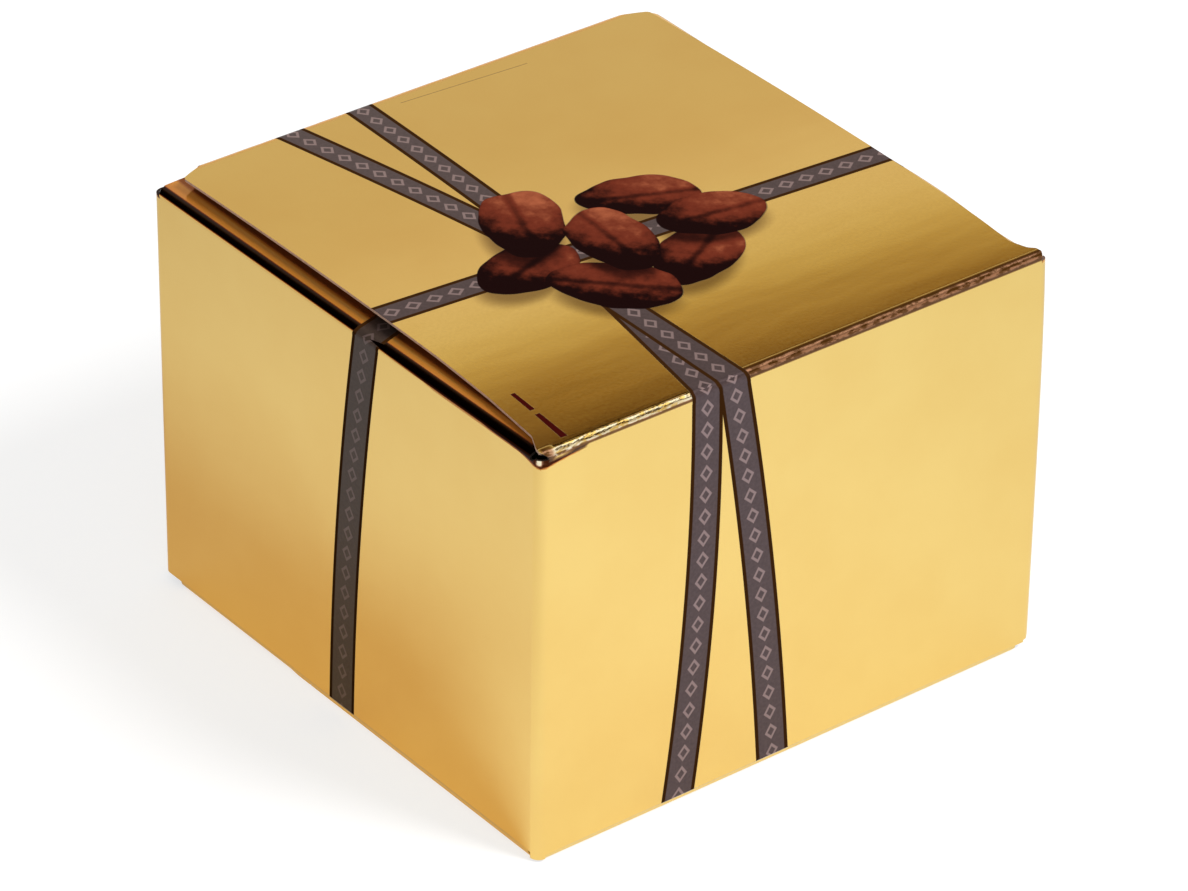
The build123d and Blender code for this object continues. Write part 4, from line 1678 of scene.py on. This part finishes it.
    def build_film(self) -> None:
        """Build the bag as one lofted and crumpled shell of film."""
        sheet = bmesh.new()
        count = self.ring_points
        loop = bmesh.ops.create_circle(sheet, cap_ends=True, segments=count, radius=1.0)["verts"]
        edges = [edge for edge in sheet.edges if edge.is_boundary]
        for index, (half_x, half_y, corner, height) in enumerate(self.film_rings()):
            if index:
                grown = bmesh.ops.extrude_edge_only(sheet, edges=edges)["geom"]
                loop = [item for item in grown if isinstance(item, bmesh.types.BMVert)]
                edges = [item for item in grown if isinstance(item, bmesh.types.BMEdge) and item.is_boundary]
            loop = sorted(loop, key=lambda vert: math.atan2(vert.co.y, vert.co.x) % (2 * math.pi))
            for step, vert in enumerate(loop):
                spot = self.ring_place(2 * math.pi * step / count, half_x, half_y, corner)
                vert.co = (*spot, height)
        bmesh.ops.holes_fill(sheet, edges=edges, sides=0)
        bmesh.ops.recalc_face_normals(sheet, faces=sheet.faces)
        # The extrusion gives its faces in no fixed order, so they are put in one along a slanted line.
        slanted = Vector((1.0, 137.3, 18813.7))
        sheet.verts.sort(key=lambda vert: vert.co.dot(slanted))
        sheet.faces.sort(key=lambda face: face.calc_center_median().dot(slanted))
        for vert in sheet.verts:
            vert.co = self.crumple(vert.co.copy()) * MM
        piece = place_sheet("bag_film", sheet, self.finishes.film)
        piece.data.shade_smooth()
        seat(piece, "bag_film", "carton", "bag_body", "bag_top_film")

    def build_seal(self) -> None:
        """Build the crimped seal, folded flat on the bag."""
        sheet = bmesh.new()
        bmesh.ops.create_grid(sheet, x_segments=146, y_segments=10, size=1.0)
        for vert in sheet.verts:
            x, y = vert.co.x * self.seal_half_length, vert.co.y * self.seal_half_width
            ridge = self.seal_ridge * math.cos(vert.co.x * self.seal_ridges * math.pi)
            sag = self.seal_sag * noise.noise(Vector((x * 0.08, y * 0.2, 4.0)))
            vert.co = Vector((x, y + 0.25 * math.sin(x * 0.11), self.seal_top - 0.34 + ridge + sag)) * MM
        piece = place_sheet("bag_seal_crimp", sheet, self.finishes.seal)
        thicken(piece, self.seal_thickness, 60.0)
        seat(piece, "bag_film", "carton", "bag_seal")

    def build(self) -> None:
        """Build the truffles, the film and the seal."""
        self.layer("truffles_lower_layer", self.lower_middle, 0)
        self.layer("truffles_upper_layer", self.upper_middle, 1)
        self.build_film()
        self.build_seal()


# Studio


@dataclass
class Studio:
    """The floor, the lamp, the surroundings and the camera."""

    azimuth: float = -38.27
    elevation: float = 32.14
    roll: float = 0.77
    distance: float = 1151.0
    aim_height: float = 44.25
    shift_right: float = 0.56
    shift_up: float = 5.55
    lens: float = 183.1
    floor_half: float = 3.0
    floor_grey: Colour = (0.42, 0.42, 0.42)
    # The pool, mirrored and glow settings paint a pool of light and warm shade into the floor as the foil
    # sees it.
    floor_glow: float = 0.69
    pool_middle: Point3 = (-0.02, -0.08, 0.0)
    pool_peak: float = 1.08
    pool_fall: float = 1.2
    pool_least: float = 0.72
    mirrored_albedo: Colour = (0.48, 0.74, 0.97)
    mirrored_glow: Colour = (1.0, 0.48, 0.02)
    glow: float = 0.53
    sky: Keys = (
        (-90.0, WHITE), (0.0, WHITE), (14.0, (0.90, 0.86, 0.78)), (22.0, (0.66, 0.60, 0.50)),
        (30.0, (0.68, 0.58, 0.44)), (31.0, (0.74, 0.63, 0.52)), (32.0, (0.80, 0.70, 0.60)),
        (33.0, (0.85, 0.79, 0.70)), (33.6, (0.85, 0.79, 0.60)), (34.2, (0.78, 0.69, 0.33)),
        (34.8, (0.63, 0.46, 0.06)), (35.4, (0.38, 0.18, 0.006)), (36.0, (0.17, 0.04, 0.003)),
        (36.6, (0.05, 0.010, 0.002)), (37.4, (0.02, 0.008, 0.002)), (48.0, (0.03, 0.015, 0.004)),
        (53.5, (0.10, 0.07, 0.03)), (56.0, (1.5, 1.45, 1.3)), (66.0, (1.5, 1.45, 1.35)),
        (72.0, (0.8, 0.76, 0.7)), (90.0, (1.1, 1.05, 1.0)),
    )
    sky_side: Point3 = (0.785, -0.62, 0.0)
    sky_side_reach: float = 0.2
    sky_lean: float = 15.0
    plain_light: float = 0.5
    lamp_place: Point3 = (0.44, -0.96, 1.25)
    lamp_aim: Point3 = (0.0, 0.0, 0.05)
    lamp_size: float = 0.5
    lamp_watts: float = 19.5

    def build_camera(self) -> None:
        """Set the camera where the photograph was taken from."""
        turn, lift, tilt = (math.radians(angle) for angle in (self.azimuth, self.elevation, self.roll))
        right = Vector((math.cos(turn), math.sin(turn), 0.0))
        back = Vector((math.sin(turn) * math.cos(lift), -math.cos(turn) * math.cos(lift), math.sin(lift)))
        up = back.cross(right)
        across = right * math.cos(tilt) + up * math.sin(tilt)
        upward = up * math.cos(tilt) - right * math.sin(tilt)
        aim = Vector((0.0, 0.0, self.aim_height))
        place = aim + back * self.distance - across * self.shift_right - upward * self.shift_up
        data = bpy.data.cameras.new("camera")
        data.lens = self.lens
        data.sensor_width = 36.0
        data.clip_start = 0.05
        camera = bpy.data.objects.new("camera", data)
        turned = Matrix((across, upward, back)).transposed().to_4x4()
        camera.matrix_world = Matrix.Translation(place * MM) @ turned
        bpy.context.scene.collection.objects.link(camera)
        bpy.context.scene.camera = camera

    def build_world(self) -> None:
        """Surround the object with white for the camera, a plain light, and a studio's tones for the foil."""
        world = bpy.data.worlds.new("studio")
        bpy.context.scene.world = world
        world.use_nodes = True
        graph = Graph(world.node_tree)
        way = graph.coordinates("Generated")
        reach = self.sky_side_reach
        side = graph.math("MAXIMUM", graph.math("MINIMUM", graph.dot(way, self.sky_side), reach), -reach)
        height = graph.math("ARCSINE", graph.dot(way, (0.0, 0.0, 1.0))) * (1.0 / math.pi) + 0.5
        peak = max(max(tone) for _, tone in self.sky)
        keys = [((at + 90.0) / 180.0, tuple(value / peak for value in tone)) for at, tone in self.sky]
        tones = graph.ramp(height + side * (self.sky_lean / 180.0), keys)
        plain = graph.shader("Background", WHITE, self.plain_light)
        lit = graph.mix_by_ray("Glossy", plain, graph.shader("Background", tones, peak))
        shown = graph.shader("MixShader", graph.seen(), lit, graph.shader("Background", WHITE, 1.0))
        graph.node("OutputWorld", {"Surface": shown})

    def floor_shader(self, graph: Graph, colour: object, glow_colour: Colour, glow: Number) -> Socket:
        """Add a matt surface with some glow of its own."""
        return graph.shader(
            "AddShader", graph.shader("BsdfDiffuse", colour), graph.shader("Emission", glow_colour, glow))

    def build_floor(self) -> None:
        """Lay the pale floor, which keeps the object's shadow; in the foil's reflections it shows a painted
        pool of light and a warm painted glow in its shade.
        """
        sheet = bmesh.new()
        bmesh.ops.create_grid(sheet, x_segments=1, y_segments=1, size=self.floor_half)
        material, graph = new_material("pale_floor")
        plain = self.floor_shader(graph, self.floor_grey, WHITE, graph.seen() * self.floor_glow)
        # Seen only in reflections: a painted pool of light falling off from near the carton, and a bluish
        # albedo with a warm glow so the shade looks warm.
        away = graph.measure("DISTANCE", graph.coordinates("Object"), self.pool_middle)
        painted_light_pool = graph.math("MAXIMUM", self.pool_peak - away * self.pool_fall, self.pool_least)
        albedo = graph.blend(painted_light_pool, (0.0, 0.0, 0.0), self.mirrored_albedo)
        mirrored = self.floor_shader(graph, albedo, self.mirrored_glow, painted_light_pool * self.glow)
        graph.node("OutputMaterial", {"Surface": graph.mix_by_ray("Glossy", plain, mirrored)})
        place_sheet("floor", sheet, material)

    def build_lamp(self) -> None:
        """Hang a soft lamp that looks at the object and doesn't show in the foil."""
        data = bpy.data.lights.new("key_lamp", "AREA")
        data.shape = "DISK"
        data.size = self.lamp_size
        data.energy = self.lamp_watts
        lamp = bpy.data.objects.new("key_lamp", data)
        lamp.location = self.lamp_place
        aim = Vector(self.lamp_aim) - Vector(self.lamp_place)
        lamp.rotation_euler = aim.to_track_quat("-Z", "Y").to_euler()
        lamp.visible_glossy = False
        bpy.context.scene.collection.objects.link(lamp)

    def build(self) -> None:
        """Build the studio and set how colours are shown."""
        self.build_camera()
        self.build_world()
        self.build_floor()
        self.build_lamp()
        bpy.context.scene.view_settings.view_transform = "Standard"


def main() -> None:
    """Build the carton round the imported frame, and its studio."""
    logging.basicConfig(level=logging.INFO, format="%(name)s: %(message)s", stream=sys.stdout)
    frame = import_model()
    finishes = Finishes()
    Walls(finishes).build()
    Lid(finishes).build()
    DustFlaps(finishes).build()
    Bottom(finishes).dress(frame)
    Bag(finishes).build()
    Studio().build()


if __name__ == "__main__":
    main()
